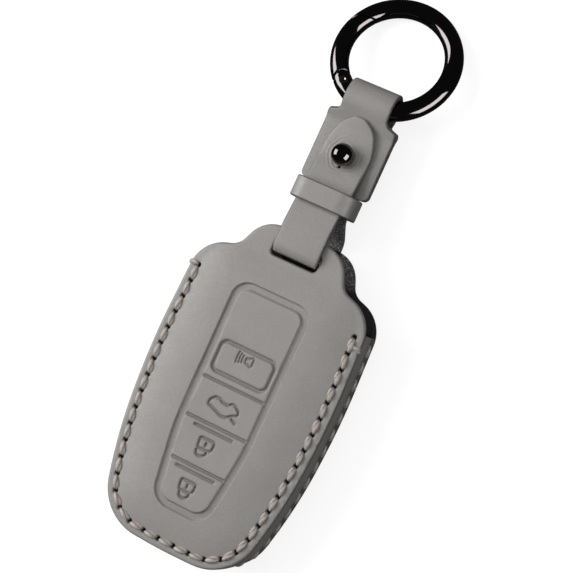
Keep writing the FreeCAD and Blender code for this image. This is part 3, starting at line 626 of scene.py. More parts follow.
class Nodes:
    """A material's node tree, with short ways to add and join nodes."""

    def __init__(self, name: str) -> None:
        """Starts a material with one surface shader.

        Args:
            name: name of the material.
        """
        self.material = bpy.data.materials.new(name)
        self.material.use_nodes = True
        self.tree = self.material.node_tree
        self.shader = self.tree.nodes["Principled BSDF"]

    def add(self, kind: str, **values: object) -> bpy.types.Node:
        """Adds a node.

        Args:
            kind: its type.
            values: its properties.

        Returns:
            The node.
        """
        node = self.tree.nodes.new(kind)
        for name, value in values.items():
            setattr(node, name, value)
        return node

    def join(self, source: Socket, target: Socket) -> None:
        """Links two sockets."""
        self.tree.links.new(source, target)

    def set(self, **values: object) -> None:
        """Sets constant values on the surface shader, with _ for a space in a socket's name."""
        for name, value in values.items():
            self.shader.inputs[name.replace("_", " ")].default_value = value

    def feed(self, **sources: Socket) -> None:
        """Links sockets to the surface shader, with _ for a space in its socket's name."""
        for name, source in sources.items():
            self.join(source, self.shader.inputs[name.replace("_", " ")])

    def place(self, stretch: Triple = EVEN) -> Socket:
        """Object coordinates.

        Args:
            stretch: scale along the axes.

        Returns:
            The socket of the coordinates.
        """
        coordinates = self.add("ShaderNodeTexCoord")
        mapping = self.add("ShaderNodeMapping")
        mapping.inputs["Scale"].default_value = stretch
        self.join(coordinates.outputs["Object"], mapping.inputs["Vector"])
        return mapping.outputs["Vector"]

    def noise(self, size: float, detail: float = 4.0, stretch: Triple = EVEN,
              roughness: float = 0.55) -> Socket:
        """Cloudy noise.

        Args:
            size: of its features, in millimetres.
            detail: how many finer layers it has.
            stretch: scale along the axes.
            roughness: how strong the finer layers are.

        Returns:
            The socket of the noise.
        """
        node = self.add("ShaderNodeTexNoise")
        node.inputs["Scale"].default_value = 1 / (size * METRES)
        node.inputs["Detail"].default_value = detail
        node.inputs["Roughness"].default_value = roughness
        self.join(self.place(stretch), node.inputs["Vector"])
        return node.outputs["Fac"]

    def cells(self, size: float) -> Socket:
        """Distance from the middles of scattered cells.

        Args:
            size: of the cells, in millimetres.

        Returns:
            The socket of the distance.
        """
        node = self.add("ShaderNodeTexVoronoi")
        node.inputs["Scale"].default_value = 1 / (size * METRES)
        self.join(self.place(), node.inputs["Vector"])
        return node.outputs["Distance"]

    def mark(self, name: str) -> Socket:
        """A named value of the mesh's points."""
        return self.add("ShaderNodeAttribute", attribute_name=name).outputs["Fac"]

    def ramp(self, source: Socket, low: float, high: float, low_value: float, high_value: float) -> Socket:
        """A value carried from one range to another, and kept within it.

        Args:
            source: socket of the value.
            low: lower end of its range.
            high: upper end of its range.
            low_value: what the lower end becomes.
            high_value: what the upper end becomes.

        Returns:
            The socket of the new value.
        """
        node = self.add("ShaderNodeMapRange")
        ends = {"From Min": low, "From Max": high, "To Min": low_value, "To Max": high_value}
        for name, value in ends.items():
            node.inputs[name].default_value = value
        self.join(source, node.inputs["Value"])
        return node.outputs["Result"]

    def blend(self, share: Socket, first: object, second: object) -> Socket:
        """Two colours mixed.

        Args:
            share: socket of the second colour's share.
            first: a colour or a socket.
            second: a colour or a socket.

        Returns:
            The socket of the mixed colour.
        """
        node = self.add("ShaderNodeMix", data_type="RGBA")
        self.join(share, node.inputs["Factor"])
        for socket, value in ((node.inputs[6], first), (node.inputs[7], second)):
            if isinstance(value, Socket):
                self.join(value, socket)
            else:
                socket.default_value = (*value, 1.0)
        return node.outputs[2]

    def bump(self, source: Socket, depth: float, over: Optional[Socket] = None) -> Socket:
        """A bump in the surface.

        Args:
            source: socket of its height.
            depth: in millimetres.
            over: socket of a bump that it is laid over.

        Returns:
            The socket of the bumped normal.
        """
        node = self.add("ShaderNodeBump")
        node.inputs["Strength"].default_value = 1.0
        node.inputs["Distance"].default_value = depth * METRES
        self.join(source, node.inputs["Height"])
        if over is not None:
            self.join(over, node.inputs["Normal"])
        return node.outputs["Normal"]


@dataclass(frozen=True)
class Leather:
    """Smooth dyed leather: cloudy colour, fine grain and pores, and cut edges burnished darker.
    The edge colour also paints shade into pressed valleys and below the side wall's lap, and a near
    black painted shade darkens holes, slots and undersides.
    """

    name: str = "grey_leather"
    colour: Colour = (0.246, 0.236, 0.224)
    shade: Colour = (0.230, 0.220, 0.209)
    # burnished cut edges; the same colour paints shade into pressed valleys and below the wall's lap
    edge: Colour = (0.092, 0.082, 0.076)
    grain: Colour = (0.186, 0.177, 0.168)
    # near black painted shade for awl holes, the strap's slots and undersides
    painted_shade: Colour = (0.006, 0.005, 0.005)
    edge_share: float = 0.85
    cloud_size: float = 9.0
    grain_size: float = 0.32
    grain_share: float = 0.62
    grain_stretch: Triple = (0.6, 1.5, 1.0)
    pore_size: float = 0.30
    pore_depth: float = 0.032
    crease_size: float = 0.9
    crease_depth: float = 0.05
    smear_size: float = 1.5
    roughness: tuple[float, float] = (0.42, 0.56)
    gloss: float = 0.45

    def material(self) -> bpy.types.Material:
        """Makes the material, which reads the marks edge and hole: the mark edge darkens burnished cut
        edges and paints shade into pressed valleys and below the wall's lap; the mark hole paints near
        black shade into holes, slots and undersides.

        Returns:
            The material.
        """
        nodes = Nodes(self.name)
        cloud = nodes.ramp(nodes.noise(self.cloud_size), 0.35, 0.65, 0.0, 1.0)
        specks = nodes.noise(self.grain_size, detail=6.0, stretch=self.grain_stretch)
        cut = nodes.ramp(nodes.mark("edge"), 0.0, 1.0, 0.0, self.edge_share)
        colour = nodes.blend(cloud, self.colour, self.shade)
        colour = nodes.blend(nodes.ramp(specks, 0.42, 0.72, 0.0, self.grain_share), colour, self.grain)
        colour = nodes.blend(cut, colour, self.edge)
        pores = nodes.bump(nodes.cells(self.pore_size), self.pore_depth)
        creases = nodes.noise(self.crease_size, stretch=self.grain_stretch)
        # the base colour ends in near black painted shade where the mark hole is set
        nodes.feed(
            Base_Color=nodes.blend(nodes.mark("hole"), colour, self.painted_shade),
            Specular_IOR_Level=nodes.ramp(nodes.mark("hole"), 0.0, 0.8, self.gloss, 0.0),
            Roughness=nodes.ramp(nodes.noise(self.smear_size), 0.3, 0.7, *self.roughness),
            Normal=nodes.bump(creases, self.crease_depth, over=pores))
        return nodes.material


@dataclass(frozen=True)
class Suede:
    """Dark napped lining with pale fibres, in its full colour only above the mouth and beside the strap
    on the right; elsewhere a painted shadow darkens it to near black.
    """

    name: str = "dark_suede"
    dark: Colour = (0.060, 0.058, 0.059)
    pale: Colour = (0.370, 0.363, 0.366)
    painted_shadow: Colour = (0.006, 0.005, 0.005)
    fibre_size: float = 0.42
    nap_depth: float = 0.12
    lit_heights: tuple[float, float] = (75.5, 77.5)
    least_lit: float = 0.12
    shadowed_to: float = 6.6
    roughness: tuple[float, float] = (0.85, 1.0)
    gloss: float = 0.2

    def material(self) -> bpy.types.Material:
        """Makes the material.

        Returns:
            The material.
        """
        nodes = Nodes(self.name)
        fibres = nodes.noise(self.fibre_size, detail=5.0, roughness=0.7)
        colour = nodes.blend(nodes.ramp(fibres, 0.46, 0.68, 0.0, 1.0), self.dark, self.pale)
        split = nodes.add("ShaderNodeSeparateXYZ")
        nodes.join(nodes.place(), split.inputs[0])
        low, high = ((FOOT + height) * METRES for height in self.lit_heights)
        covered = self.shadowed_to * METRES
        # painted light and shadow: full colour above the mouth and right of the strap, near black elsewhere
        lit_share = nodes.add("ShaderNodeMath", operation="MULTIPLY")
        nodes.join(nodes.ramp(split.outputs["Y"], low, high, self.least_lit, 1.0), lit_share.inputs[0])
        nodes.join(nodes.ramp(split.outputs["X"], covered, covered + METRES, 0.0, 1.0), lit_share.inputs[1])
        nodes.feed(
            Base_Color=nodes.blend(lit_share.outputs[0], self.painted_shadow, colour),
            Roughness=nodes.ramp(fibres, 0.3, 0.7, *self.roughness),
            Normal=nodes.bump(fibres, self.nap_depth))
        nodes.set(Specular_IOR_Level=self.gloss)
        return nodes.material


@dataclass(frozen=True)
class WaxedThread:
    """Waxed linen thread: pale strands, with painted shade in the valleys between them and at the ends that
    dive into the holes.
    """

    name: str = "waxed_thread"
    pale: Colour = (0.440, 0.398, 0.362)
    dark_tone_and_shade: Colour = (0.085, 0.066, 0.056)
    # painted shade at the ends that dive into the awl holes
    hole: Colour = (0.030, 0.022, 0.020)
    fuzz_size: float = 0.12
    fuzz_share: float = 0.60
    fuzz_depth: float = 0.03
    roughness: tuple[float, float] = (0.42, 0.66)
    gloss: float = 0.4

    def material(self) -> bpy.types.Material:
        """Makes the material, which reads the marks valley and sunk, both painted shade.

        Returns:
            The material.
        """
        nodes = Nodes(self.name)
        fuzz = nodes.noise(self.fuzz_size, detail=5.0)
        colour = nodes.blend(nodes.ramp(fuzz, 0.38, 0.68, 0.0, self.fuzz_share), self.pale, self.dark_tone_and_shade)
        colour = nodes.blend(nodes.mark("valley"), colour, self.dark_tone_and_shade)
        nodes.feed(
            Base_Color=nodes.blend(nodes.mark("sunk"), colour, self.hole),
            Roughness=nodes.ramp(fuzz, 0.3, 0.7, *self.roughness),
            Normal=nodes.bump(fuzz, self.fuzz_depth))
        nodes.set(Specular_IOR_Level=self.gloss)
        return nodes.material


@dataclass(frozen=True)
class Plate:
    """Polished plate on cast metal, with faint smears."""

    name: str
    colour: Colour
    roughness: tuple[float, float]
    smear_size: float = 3.0
    smear_shade: float = 0.8
    ripple_size: float = 1.2
    ripple_depth: float = 0.004

    def material(self) -> bpy.types.Material:
        """Makes the material.

        Returns:
            The material.
        """
        nodes = Nodes(self.name)
        smear = nodes.noise(self.smear_size, detail=6.0)
        tint = tuple(self.smear_shade * value for value in self.colour)
        nodes.feed(
            Base_Color=nodes.blend(smear, self.colour, tint),
            Roughness=nodes.ramp(smear, 0.3, 0.7, *self.roughness),
            Normal=nodes.bump(nodes.noise(self.ripple_size), self.ripple_depth))
        nodes.set(Metallic=1.0)
        return nodes.material


# The strap's inner side takes no painted shadow: the lining's full colour all over
STRAP_SUEDE = Suede("strap_suede", lit_heights=(0.0, 1.0), shadowed_to=-100.0)
BLACK_NICKEL = Plate("black_nickel", (0.108, 0.099, 0.097), (0.05, 0.10))
HINGE_STEEL = Plate("hinge_steel", (0.300, 0.235, 0.205), (0.16, 0.26))
SPRING_STEEL = Plate("spring_steel", (0.480, 0.480, 0.490), (0.22, 0.36))


# Case


@dataclass(frozen=True)
class Stroke:
    """A drawn line of a sign.

    Attributes:
        line: array of (x, height).
        closed: whether the last point joins the first.
        half_width: of the valley pressed along it.
    """

    line: np.ndarray
    closed: bool
    half_width: float


@dataclass
class ButtonField:
    """The pressed button field of the front: its border, pad lines, pads and signs."""

    width: float = 21.2
    foot: float = 10.1
    head: float = 68.2
    foot_radius: float = 5.6
    head_radius: float = 4.6
    bend_radius: float = 60.0
    foot_width_share: float = 0.736
    waist_width_share: float = 0.985
    waist_height_share: float = 0.340
    line_height_shares: tuple[float, float, float] = (0.208, 0.394, 0.568)
    alarm_height_share: float = 0.671
    alarm_size: tuple[float, float] = (15.6, 8.6)
    alarm_radius: float = 2.2
    groove_width: float = 1.1
    valley_width: float = 2.3
    valley_wall: float = 0.45
    valley_inner_wall: float = 0.62
    valley_depth: float = 0.72
    # painted shade in the border valley and the pressed lines, partly the darker tone of pressed leather
    valley_shade: float = 0.12
    line_half_width: float = 0.56
    line_depth: float = 0.72
    line_shade: float = 0.32
    ring_offset: float = -0.45
    ring_half_width: float = 0.78
    ring_depth: float = 0.78
    pad_gap: float = 0.02
    pad_margin: float = 0.1
    pad_radius: float = 0.25
    line_half_gap: float = 0.5
    bar_length: float = 10.2
    bar_drop: float = 1.45
    bar_half_width: float = 0.60
    lock_drop: float = 5.2
    unlock_drop: float = 5.0
    lock_shift: float = -0.45
    alarm_sign_place: tuple[float, float] = (-0.3, 1.5)
    sign_steepness: float = 1.25
    sign_half_width: float = 0.56
    fine_half_width: float = 0.40
    sign_margin: float = 1.0
    wave_start: float = 0.3
    wave_step: float = 0.68
    wave_bow: float = 0.45
    wave_reaches: tuple[float, float, float] = (1.0, 1.3, 1.6)

    def __post_init__(self) -> None:
        """Works out the outlines and the heights of the pad lines."""
        half, length = self.width / 2, self.head - self.foot
        self.outline = Outline.mirrored([
            (half * self.foot_width_share, self.foot, self.foot_radius),
            (half * self.waist_width_share, self.foot + length * self.waist_height_share, self.bend_radius),
            (half, self.head, self.head_radius),
        ])
        self.lines = [self.foot + length * share for share in self.line_height_shares]
        self.alarm_middle = self.foot + length * self.alarm_height_share
        wide, high = self.alarm_size[0] / 2, self.alarm_size[1] / 2
        self.alarm = Outline.mirrored([
            (wide, self.alarm_middle - high, self.alarm_radius),
            (wide, self.alarm_middle + high, self.alarm_radius),
        ])

    def side(self, height: float, inset: float) -> float:
        """Half width of the field.

        Args:
            height: where it is taken.
            inset: how far inside the border.

        Returns:
            The half width.
        """
        line = self.outline.moved(inset).polyline(FINE_ARC)
        right = line[(line[:, 0] > 0)]
        order = np.argsort(right[:, 1])
        return float(np.interp(height, right[order, 1], right[order, 0]))

    def pad_outline(self, number: int, grow: float) -> Outline:
        """Outline of one of the three pads below the alarm pad, counted from the foot.

        Args:
            number: which pad.
            grow: how far the outline stands outside the pad.

        Returns:
            Its outline.
        """
        inset = self.groove_width - grow
        middle = self.line_half_gap - grow
        head = self.lines[number] - middle
        if number == 0:
            foot = self.foot + inset
            foot_half = self.width / 2 * self.foot_width_share - inset
            return Outline.mirrored([
                (foot_half, foot, self.foot_radius - inset),
                (self.side(head, inset), head, self.pad_radius),
            ])
        foot = self.lines[number - 1] + middle
        return Outline.mirrored([
            (self.side(height, inset), height, self.pad_radius) for height in (foot, head)])

    def relief(self, points: np.ndarray) -> tuple[np.ndarray, np.ndarray]:
        """Depth of the pressing at flat points, and the painted shade that darkens the leather there, partly
        the darker tone of pressed leather.

        The border is a flat valley between two eased walls, by the distance inside the border. The
        pad lines are valleys of a raised cosine, the alarm pad has one all round, and the signs are
        drawn lines.

        Args:
            points: array of (x, height).

        Returns:
            The depth and the shade at each point.
        """
        inside = depth_inside(points, self.outline.polyline(FINE_ARC))
        within = ease(inside / self.valley_wall)
        border = within * ease((self.valley_width - inside) / self.valley_inner_wall)
        ends = within * (1 - border)
        drawn = self.sign_relief(points)
        for line in self.lines:
            gap = np.abs(points[:, 1] - line)
            drawn = np.maximum(drawn, ends * self.valley(gap, self.line_half_width, self.line_depth))
        gap = np.abs(depth_inside(points, self.alarm.polyline(FINE_ARC)) + self.ring_offset)
        drawn = np.maximum(drawn, self.valley(gap, self.ring_half_width, self.ring_depth))
        # painted shade at the bottoms of the valleys, partly the darker tone of pressed leather
        shade = np.maximum(self.valley_shade * border, self.line_shade * ease(drawn / self.line_depth))
        return np.maximum(self.valley_depth * border, drawn), shade

    @staticmethod
    def valley(gap: np.ndarray, half_width: float, depth: float) -> np.ndarray:
        """A raised-cosine valley by the distance from its middle."""
        return depth * (0.5 + 0.5 * np.cos(math.pi * np.clip(gap / half_width, 0, 1)))

    def signs(self) -> list[Stroke]:
        """The signs on their pads, which are read with the strap hanging down.

        Returns:
            Their strokes.
        """
        foot, middle, upper = self.lines
        bold, fine = self.sign_half_width, self.fine_half_width
        drawn: list[Stroke] = []
        bar = np.array([(-0.5, 0.0), (0.5, 0.0)]) * self.bar_length
        for line in (foot, middle):
            drawn.append(Stroke(bar + (0, line - self.bar_drop), False, self.bar_half_width))
        body = Outline(((-1.8, -1.2, 0.7), (1.8, -1.2, 0.7), (2.0, 1.4, 0.5), (-2.0, 1.4, 0.5)))
        keyhole = np.array([(0.0, -0.2), (0.0, 0.4)])
        bow, open_bow = (Outline(corners, closed=False) for corners in (
            ((-1.25, -1.2, 0), (-1.25, -2.9, 1.2), (1.25, -2.9, 1.2), (1.25, -1.2, 0)),
            ((-1.7, -1.9, 0), (-1.7, -3.0, 1.0), (0.9, -3.0, 1.2), (0.9, -1.2, 0))))
        for height, shackle in ((foot - self.lock_drop, bow), (middle - self.unlock_drop, open_bow)):
            place = (self.lock_shift, height)
            drawn.append(Stroke(body.polyline(7) + place, True, bold))
            drawn.append(Stroke(keyhole + place, False, bold))
            drawn.append(Stroke(shackle.polyline(7) + place, False, bold))
        car = Outline((
            (-4.3, -0.7, 0.4), (-3.2, -1.0, 0.8), (-1.7, -1.5, 1.0), (-0.2, -2.1, 1.0), (1.2, -2.05, 1.0),
            (2.5, -1.05, 0.8), (3.8, -0.5, 0.5), (3.6, 0.6, 0.6), (2.5, 1.4, 0.5), (1.5, 1.65, 0.6),
            (0.7, 0.85, 0.5), (-1.0, 1.0, 0.5), (-1.9, 1.55, 0.5), (-3.1, 1.55, 0.6), (-4.2, 0.4, 0.6)))
        lid = np.array([(2.7, -1.75), (3.9, -2.35)])
        drawn.append(Stroke(car.polyline(6) + (0, (middle + upper) / 2), True, bold))
        drawn.append(Stroke(lid + (0, (middle + upper) / 2), False, bold))
        place = np.array(self.alarm_sign_place) + (0, self.alarm_middle)
        horn = Outline((
            (0.2, -0.6, 0.2), (1.0, -0.7, 0.2), (2.1, -1.3, 0.3),
            (2.1, 1.3, 0.3), (1.0, 0.7, 0.2), (0.2, 0.6, 0.2)))
        drawn.append(Stroke(horn.polyline(5) + place, True, fine))
        turn = np.linspace(-1.0, 1.0, 15)
        for number, reach in enumerate(self.wave_reaches):
            bowed = -self.wave_start - self.wave_step * number - self.wave_bow * np.cos(turn)
            wave = np.column_stack([bowed, reach * np.sin(turn)])
            drawn.append(Stroke(wave + place, False, fine))
        return drawn

    def sign_relief(self, points: np.ndarray) -> np.ndarray:
        """Depth of the signs: a valley along each stroke, as deep as its width allows.

        Args:
            points: array of (x, height).

        Returns:
            One depth to a point.
        """
        depth = np.zeros(len(points))
        for stroke in self.signs():
            low, high = stroke.line.min(axis=0) - self.sign_margin, stroke.line.max(axis=0) + self.sign_margin
            near = np.all((points > low) & (points < high), axis=1)
            if near.any():
                gap, _ = nearest(points[near], stroke.line, stroke.closed)
                deepest = self.sign_steepness * stroke.half_width
                depth[near] = np.maximum(depth[near], self.valley(gap, stroke.half_width, deepest))
        return depth


@dataclass
class Case:
    """The moulded case: two panels, side wall, linings and the pressed pads."""

    width: float = 49.2
    body_length: float = 75.4
    tab_height: float = 8.25
    tab_width: float = 21.6
    tab_root_width: float = 28.8
    tab_corner_radius: float = 7.7
    tab_root_radius: float = 4.2
    shoulder_drop: float = 3.0
    shoulder_radius: float = 9.0
    bottom_sag: float = 0.75
    bottom_corner_radius: float = 13.0
    bottom_bend_radius: float = 150.0
    side_bend_radius: float = 130.0
    widest_bend_radius: float = 186.0
    bottom_width_share: float = 0.733
    lower_width_share: float = 0.946
    lower_height_share: float = 0.300
    widest_height_share: float = 0.615
    shoulder_width_share: float = 0.958
    thickness: float = 18.0
    crown_rise: float = 2.0
    crown_start: float = 2.9
    crown_run: float = 6.6
    crown_top_lift: float = 2.4
    crown_corner_radius: float = 10.5
    swell_rise: float = 1.6
    swell_start: float = 1.0
    swell_run: float = 12.5
    leather: float = 1.6
    edge_radius: float = 0.75
    rim_shade: float = 0.25
    edge_shade_run: float = 0.5
    slot_size: tuple[float, float] = (12.4, 4.5)
    slot_rise: float = 0.7
    front_slot_closed: float = 0.3
    rear_slot_closed: float = 1.1
    slot_radius: float = 1.0
    slot_edge_radius: float = 0.4
    slot_shade_start: float = 0.1
    mouth_drop: float = 7.6
    seam_inset: float = 2.3
    seam_start_drop: float = 1.2
    stitch_count: int = 37
    hole_radius: float = 0.85
    hole_depth: float = 0.75
    hole_floor_share: float = 0.45
    lap_level: float = 8.3
    lap_step: float = 0.45
    wall_leather: float = 1.4
    wall_bulge: float = 0.16
    wall_points: int = 420
    flange_width: float = 4.0
    flange_leather: float = 1.2
    front_step: float = 0.25
    field_step: float = 0.15
    pad_step: float = 0.13
    rear_step: float = 0.3
    button_field: ButtonField = field(default_factory=ButtonField)

    def __post_init__(self) -> None:
        """Works out the outlines from the sizes."""
        half, body = self.width / 2, self.body_length
        self.sides: list[Corner] = [
            (0.0, 0.0, self.bottom_bend_radius),
            (half * self.bottom_width_share, self.bottom_sag, self.bottom_corner_radius),
            (half * self.lower_width_share, body * self.lower_height_share, self.side_bend_radius),
            (half, body * self.widest_height_share, self.widest_bend_radius),
        ]
        shoulder = half * self.shoulder_width_share
        self.length = body + self.tab_height
        self.outline = Outline.mirrored(self.sides + [
            (shoulder, body - self.shoulder_drop, self.shoulder_radius),
            (self.tab_root_width / 2, body, self.tab_root_radius),
            (self.tab_width / 2, self.length, self.tab_corner_radius),
        ])
        self.crown_outline = Outline.mirrored(self.sides + [
            (shoulder, body + self.crown_top_lift, self.crown_corner_radius)])
        slot_foot = body + self.slot_rise
        half_slot = self.slot_size[0] / 2
        slot_head = (half_slot, slot_foot + self.slot_size[1], self.slot_radius)
        self.front_slot, self.rear_slot = (
            Outline.mirrored([(half_slot, slot_foot + closed, self.slot_radius), slot_head])
            for closed in (self.front_slot_closed, self.rear_slot_closed))
        self.mouth = body - self.mouth_drop
        self.seam_start = self.mouth - self.seam_start_drop
        self.rim_level = self.thickness - self.crown_rise

    def mouth_half(self, height: float, inset: float) -> float:
        """Half width of the case near its mouth, where the side is straight.

        Args:
            height: where it is taken.
            inset: how far inside the outline.

        Returns:
            The half width.
        """
        moved = self.outline.moved(inset).corners
        low, high = moved[len(self.sides) - 1], moved[len(self.sides)]
        return low[0] + (high[0] - low[0]) * (height - low[1]) / (high[1] - low[1])

    def around(self, inset: float, end: float) -> np.ndarray:
        """The path from the left mouth round the bottom to the right mouth.

        Args:
            inset: how far inside the outline it runs.
            end: height of both its ends.

        Returns:
            Its points.
        """
        moved = list(self.outline.moved(inset).corners[:len(self.sides)])
        right = moved[1:] + [(self.mouth_half(end, inset), end, 0.0)]
        left = [(-x, y, radius) for x, y, radius in reversed(right)]
        return Outline(tuple(left + moved[:1] + right), closed=False).polyline(FINE_ARC)

    def holes(self, inset: float) -> np.ndarray:
        """The awl holes of the seam, evenly spaced."""
        return resampled(self.around(inset, self.seam_start), self.stitch_count + 1)

    def swell(self, points: np.ndarray) -> tuple[np.ndarray, np.ndarray]:
        """Rise of the moulded crown above the rim, by the depth inside the crown.

        The outer side is a soft pillow, 5 t^2 up to a fifth of its run and 1 - 1.25 (1 - t)^2 from
        there. The inner side is an eased step over the lining.

        Args:
            points: array of (x, height).

        Returns:
            The rise of the outer and of the inner side.
        """
        inside = depth_inside(points, self.crown_outline.polyline(13))
        t = np.clip((inside - self.swell_start) / self.swell_run, 0, 1)
        outer = self.swell_rise * np.where(t < 0.2, 5 * t * t, 1 - 1.25 * (1 - t) ** 2)
        return outer, self.crown_rise * ease((inside - self.crown_start) / self.crown_run)

    def hole_mark(self, points: np.ndarray) -> np.ndarray:
        """How far points lie in the awl holes: 1 on the floor of a hole, falling to 0 at its edge. It sinks
        the holes and, as the mark hole, paints shade into them.

        Args:
            points: array of (x, height).

        Returns:
            One value to a point.
        """
        holes = self.holes(self.seam_inset)
        near = np.full(len(points), np.inf)
        for part in np.array_split(np.arange(len(points)), 8):
            near[part] = np.linalg.norm(points[part][:, None] - holes, axis=2).min(axis=1)
        wall_share = 1 - self.hole_floor_share
        return 1 - ease((near - self.hole_floor_share * self.hole_radius) / (wall_share * self.hole_radius))

    def panel(self, front: bool) -> Shape:
        """A panel of the case, with its crown, rolled edge, slot and awl holes.

        Its level is rim + crown - rolled edge - holes over a trimmed grid, and its underside the inner
        crown one leather lower. The rear is the mirror image about the middle level.

        Args:
            front: whether this is the front, which leaves out the button field.

        Returns:
            The panel.
        """
        slot_line = (self.front_slot if front else self.rear_slot).polyline()
        holes = [slot_line]
        if front:
            holes.append(self.button_field.outline.polyline(FINE_ARC))
        outline = self.outline.polyline(FINE_ARC)
        grid = TrimmedGrid.cut(self.front_step if front else self.rear_step, outline, holes)
        swell, inner_swell = self.swell(grid.points)
        outer, _ = nearest(grid.points, outline)
        slot, _ = nearest(grid.points, slot_line)
        hole = self.hole_mark(grid.points)
        top = self.rim_level + swell - rolled(outer, self.edge_radius) - rolled(slot, self.slot_edge_radius)
        top = top - hole * self.hole_depth
        under = self.rim_level - self.leather + inner_swell
        rim_edge = self.rim_shade * (1 - ease(outer / self.edge_shade_run))
        slot_edge = 1 - ease((slot - self.slot_shade_start) / self.edge_shade_run)
        # The mark hole paints shade into the awl holes; the mark edge is the burnished rim and slot edges.
        marks = {"edge": np.maximum(rim_edge, slot_edge), "hole": hole}
        if front:
            shape = grid.levelled(top, under, marks)
        else:
            shape = grid.levelled(self.thickness - top, self.thickness - under, marks)
            shape.faces = [face[:, ::-1] for face in shape.faces]
        outside, inside = grid.faces, shape.faces[len(grid.faces):-1]
        kinds = [0] * len(outside) + [1] * len(inside) + [0]
        shape.finishes = [np.full(len(face), kind) for face, kind in zip(shape.faces, kinds)]
        return shape

    def field_frame(self) -> Shape:
        """The part of the front between the border and the pads, with its pressed lines.

        Returns:
            The frame of the button field.
        """
        buttons = self.button_field
        grow = buttons.pad_margin + buttons.pad_gap
        gaps = [buttons.alarm.moved(-buttons.pad_gap).polyline()]
        gaps += [buttons.pad_outline(number, grow).polyline() for number in range(len(buttons.lines))]
        return self.pressed(TrimmedGrid.cut(self.field_step, buttons.outline.polyline(FINE_ARC), gaps))

    def pad(self, outline: Outline) -> Shape:
        """A pad: its own stretch of the pressed front."""
        return self.pressed(TrimmedGrid.cut(self.pad_step, outline.polyline(), []))

    def pressed(self, grid: TrimmedGrid) -> Shape:
        """A stretch of the front with the field's relief pressed into it: level rim + crown - relief.

        Args:
            grid: the stretch, seen flat.

        Returns:
            The stretch with the thickness of its leather.
        """
        swell, inner_swell = self.swell(grid.points)
        relief, shade = self.button_field.relief(grid.points)
        top = self.rim_level + swell - relief
        under = self.rim_level + inner_swell - self.leather
        # the field's painted shade is carried by the mark edge
        return grid.levelled(top, under, {"edge": shade, "hole": np.zeros(len(top))})

    def side_wall(self) -> Shape:
        """The side wall: a channel section carried round the bottom from mouth to mouth.

        The section is listed as (outwards, level). Its upper half is the front leather, turned down,
        and ends in a lap over the lower half, which carries the side seam.

        Returns:
            The closed wall.
        """
        top, foot = self.rim_level - self.leather, self.crown_rise + self.leather
        lap, step, inner = self.lap_level, self.lap_step, -self.wall_leather
        bulge, flange = self.wall_bulge, -self.flange_width
        mid = (top + lap) / 2
        section = np.array([
            (0.0, top), (bulge * 0.75, (top + mid) / 2), (bulge, mid), (bulge * 0.9, (lap + mid) / 2),
            (bulge * 0.6, lap + 0.25), (bulge * 0.2, lap + 0.05), (-0.1, lap),
            (-step, lap + 0.02), (-step, lap - 0.3), (-step + 0.1, (lap + foot) / 2),
            (-step + 0.3, foot + 0.5), (-0.05, foot),
            (flange, foot), (flange, foot + self.flange_leather),
            (inner, foot + self.flange_leather), (inner, top - self.flange_leather),
            (flange, top - self.flange_leather), (flange, top),
        ])
        line = resampled(self.around(0.0, self.mouth), self.wall_points)
        outward = -left_normals(line)
        place = line[:, None] + outward[:, None] * section[None, :, :1]
        level = np.broadcast_to(section[:, 1], place.shape[:2])
        points = np.concatenate([place, level[:, :, None]], axis=2)
        rows, columns = level.shape
        quads = grid_faces(rows, columns, round_columns=True)[:, ::-1]
        # painted shade: the mark edge darkens the whole band below the lap
        under_lap_shade = np.tile(ease((lap + 0.1 - section[:, 1]) / 0.2), rows)
        marks = {"edge": under_lap_shade, "hole": np.zeros(rows * columns)}
        return Shape(points.reshape(-1, 3), [quads, *end_caps(rows, columns)], marks)

    def build(self, finishes: Finishes) -> None:
        """Makes the case's pieces, hides the nodes they stand in for and rides them on their bodies.

        Args:
            finishes: materials by name.
        """
        leather = [finishes["leather"]]
        lined = [finishes["leather"], finishes["suede"]]
        buttons = self.button_field
        front = make_piece("front_shell", self.panel(True), lined)
        frame_piece = make_piece("button_field", self.field_frame(), leather)
        rear = make_piece("rear_shell", self.panel(False), lined)
        wall = make_piece("side_wall", self.side_wall(), leather)
        for piece, node in ((front, "front_panel"), (rear, "rear_panel"), (wall, "side_gusset")):
            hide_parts(node)
        for piece in (front, frame_piece, rear, wall):
            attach(piece, Body.CASE.value)
        outlines = {Body.ALARM: buttons.alarm}
        for number, body in enumerate((Body.LOCK, Body.UNLOCK, Body.TRUNK)):
            outlines[body] = buttons.pad_outline(number, buttons.pad_margin)
        for body, outline in outlines.items():
            name = body.value.replace("pad", "button")
            piece = make_piece(name, self.pad(outline), leather)
            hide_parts(body.value)
            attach(piece, body.value)
        for node in ("front_lining", "rear_lining"):
            dress_node(node, finishes["suede"])


# Thread


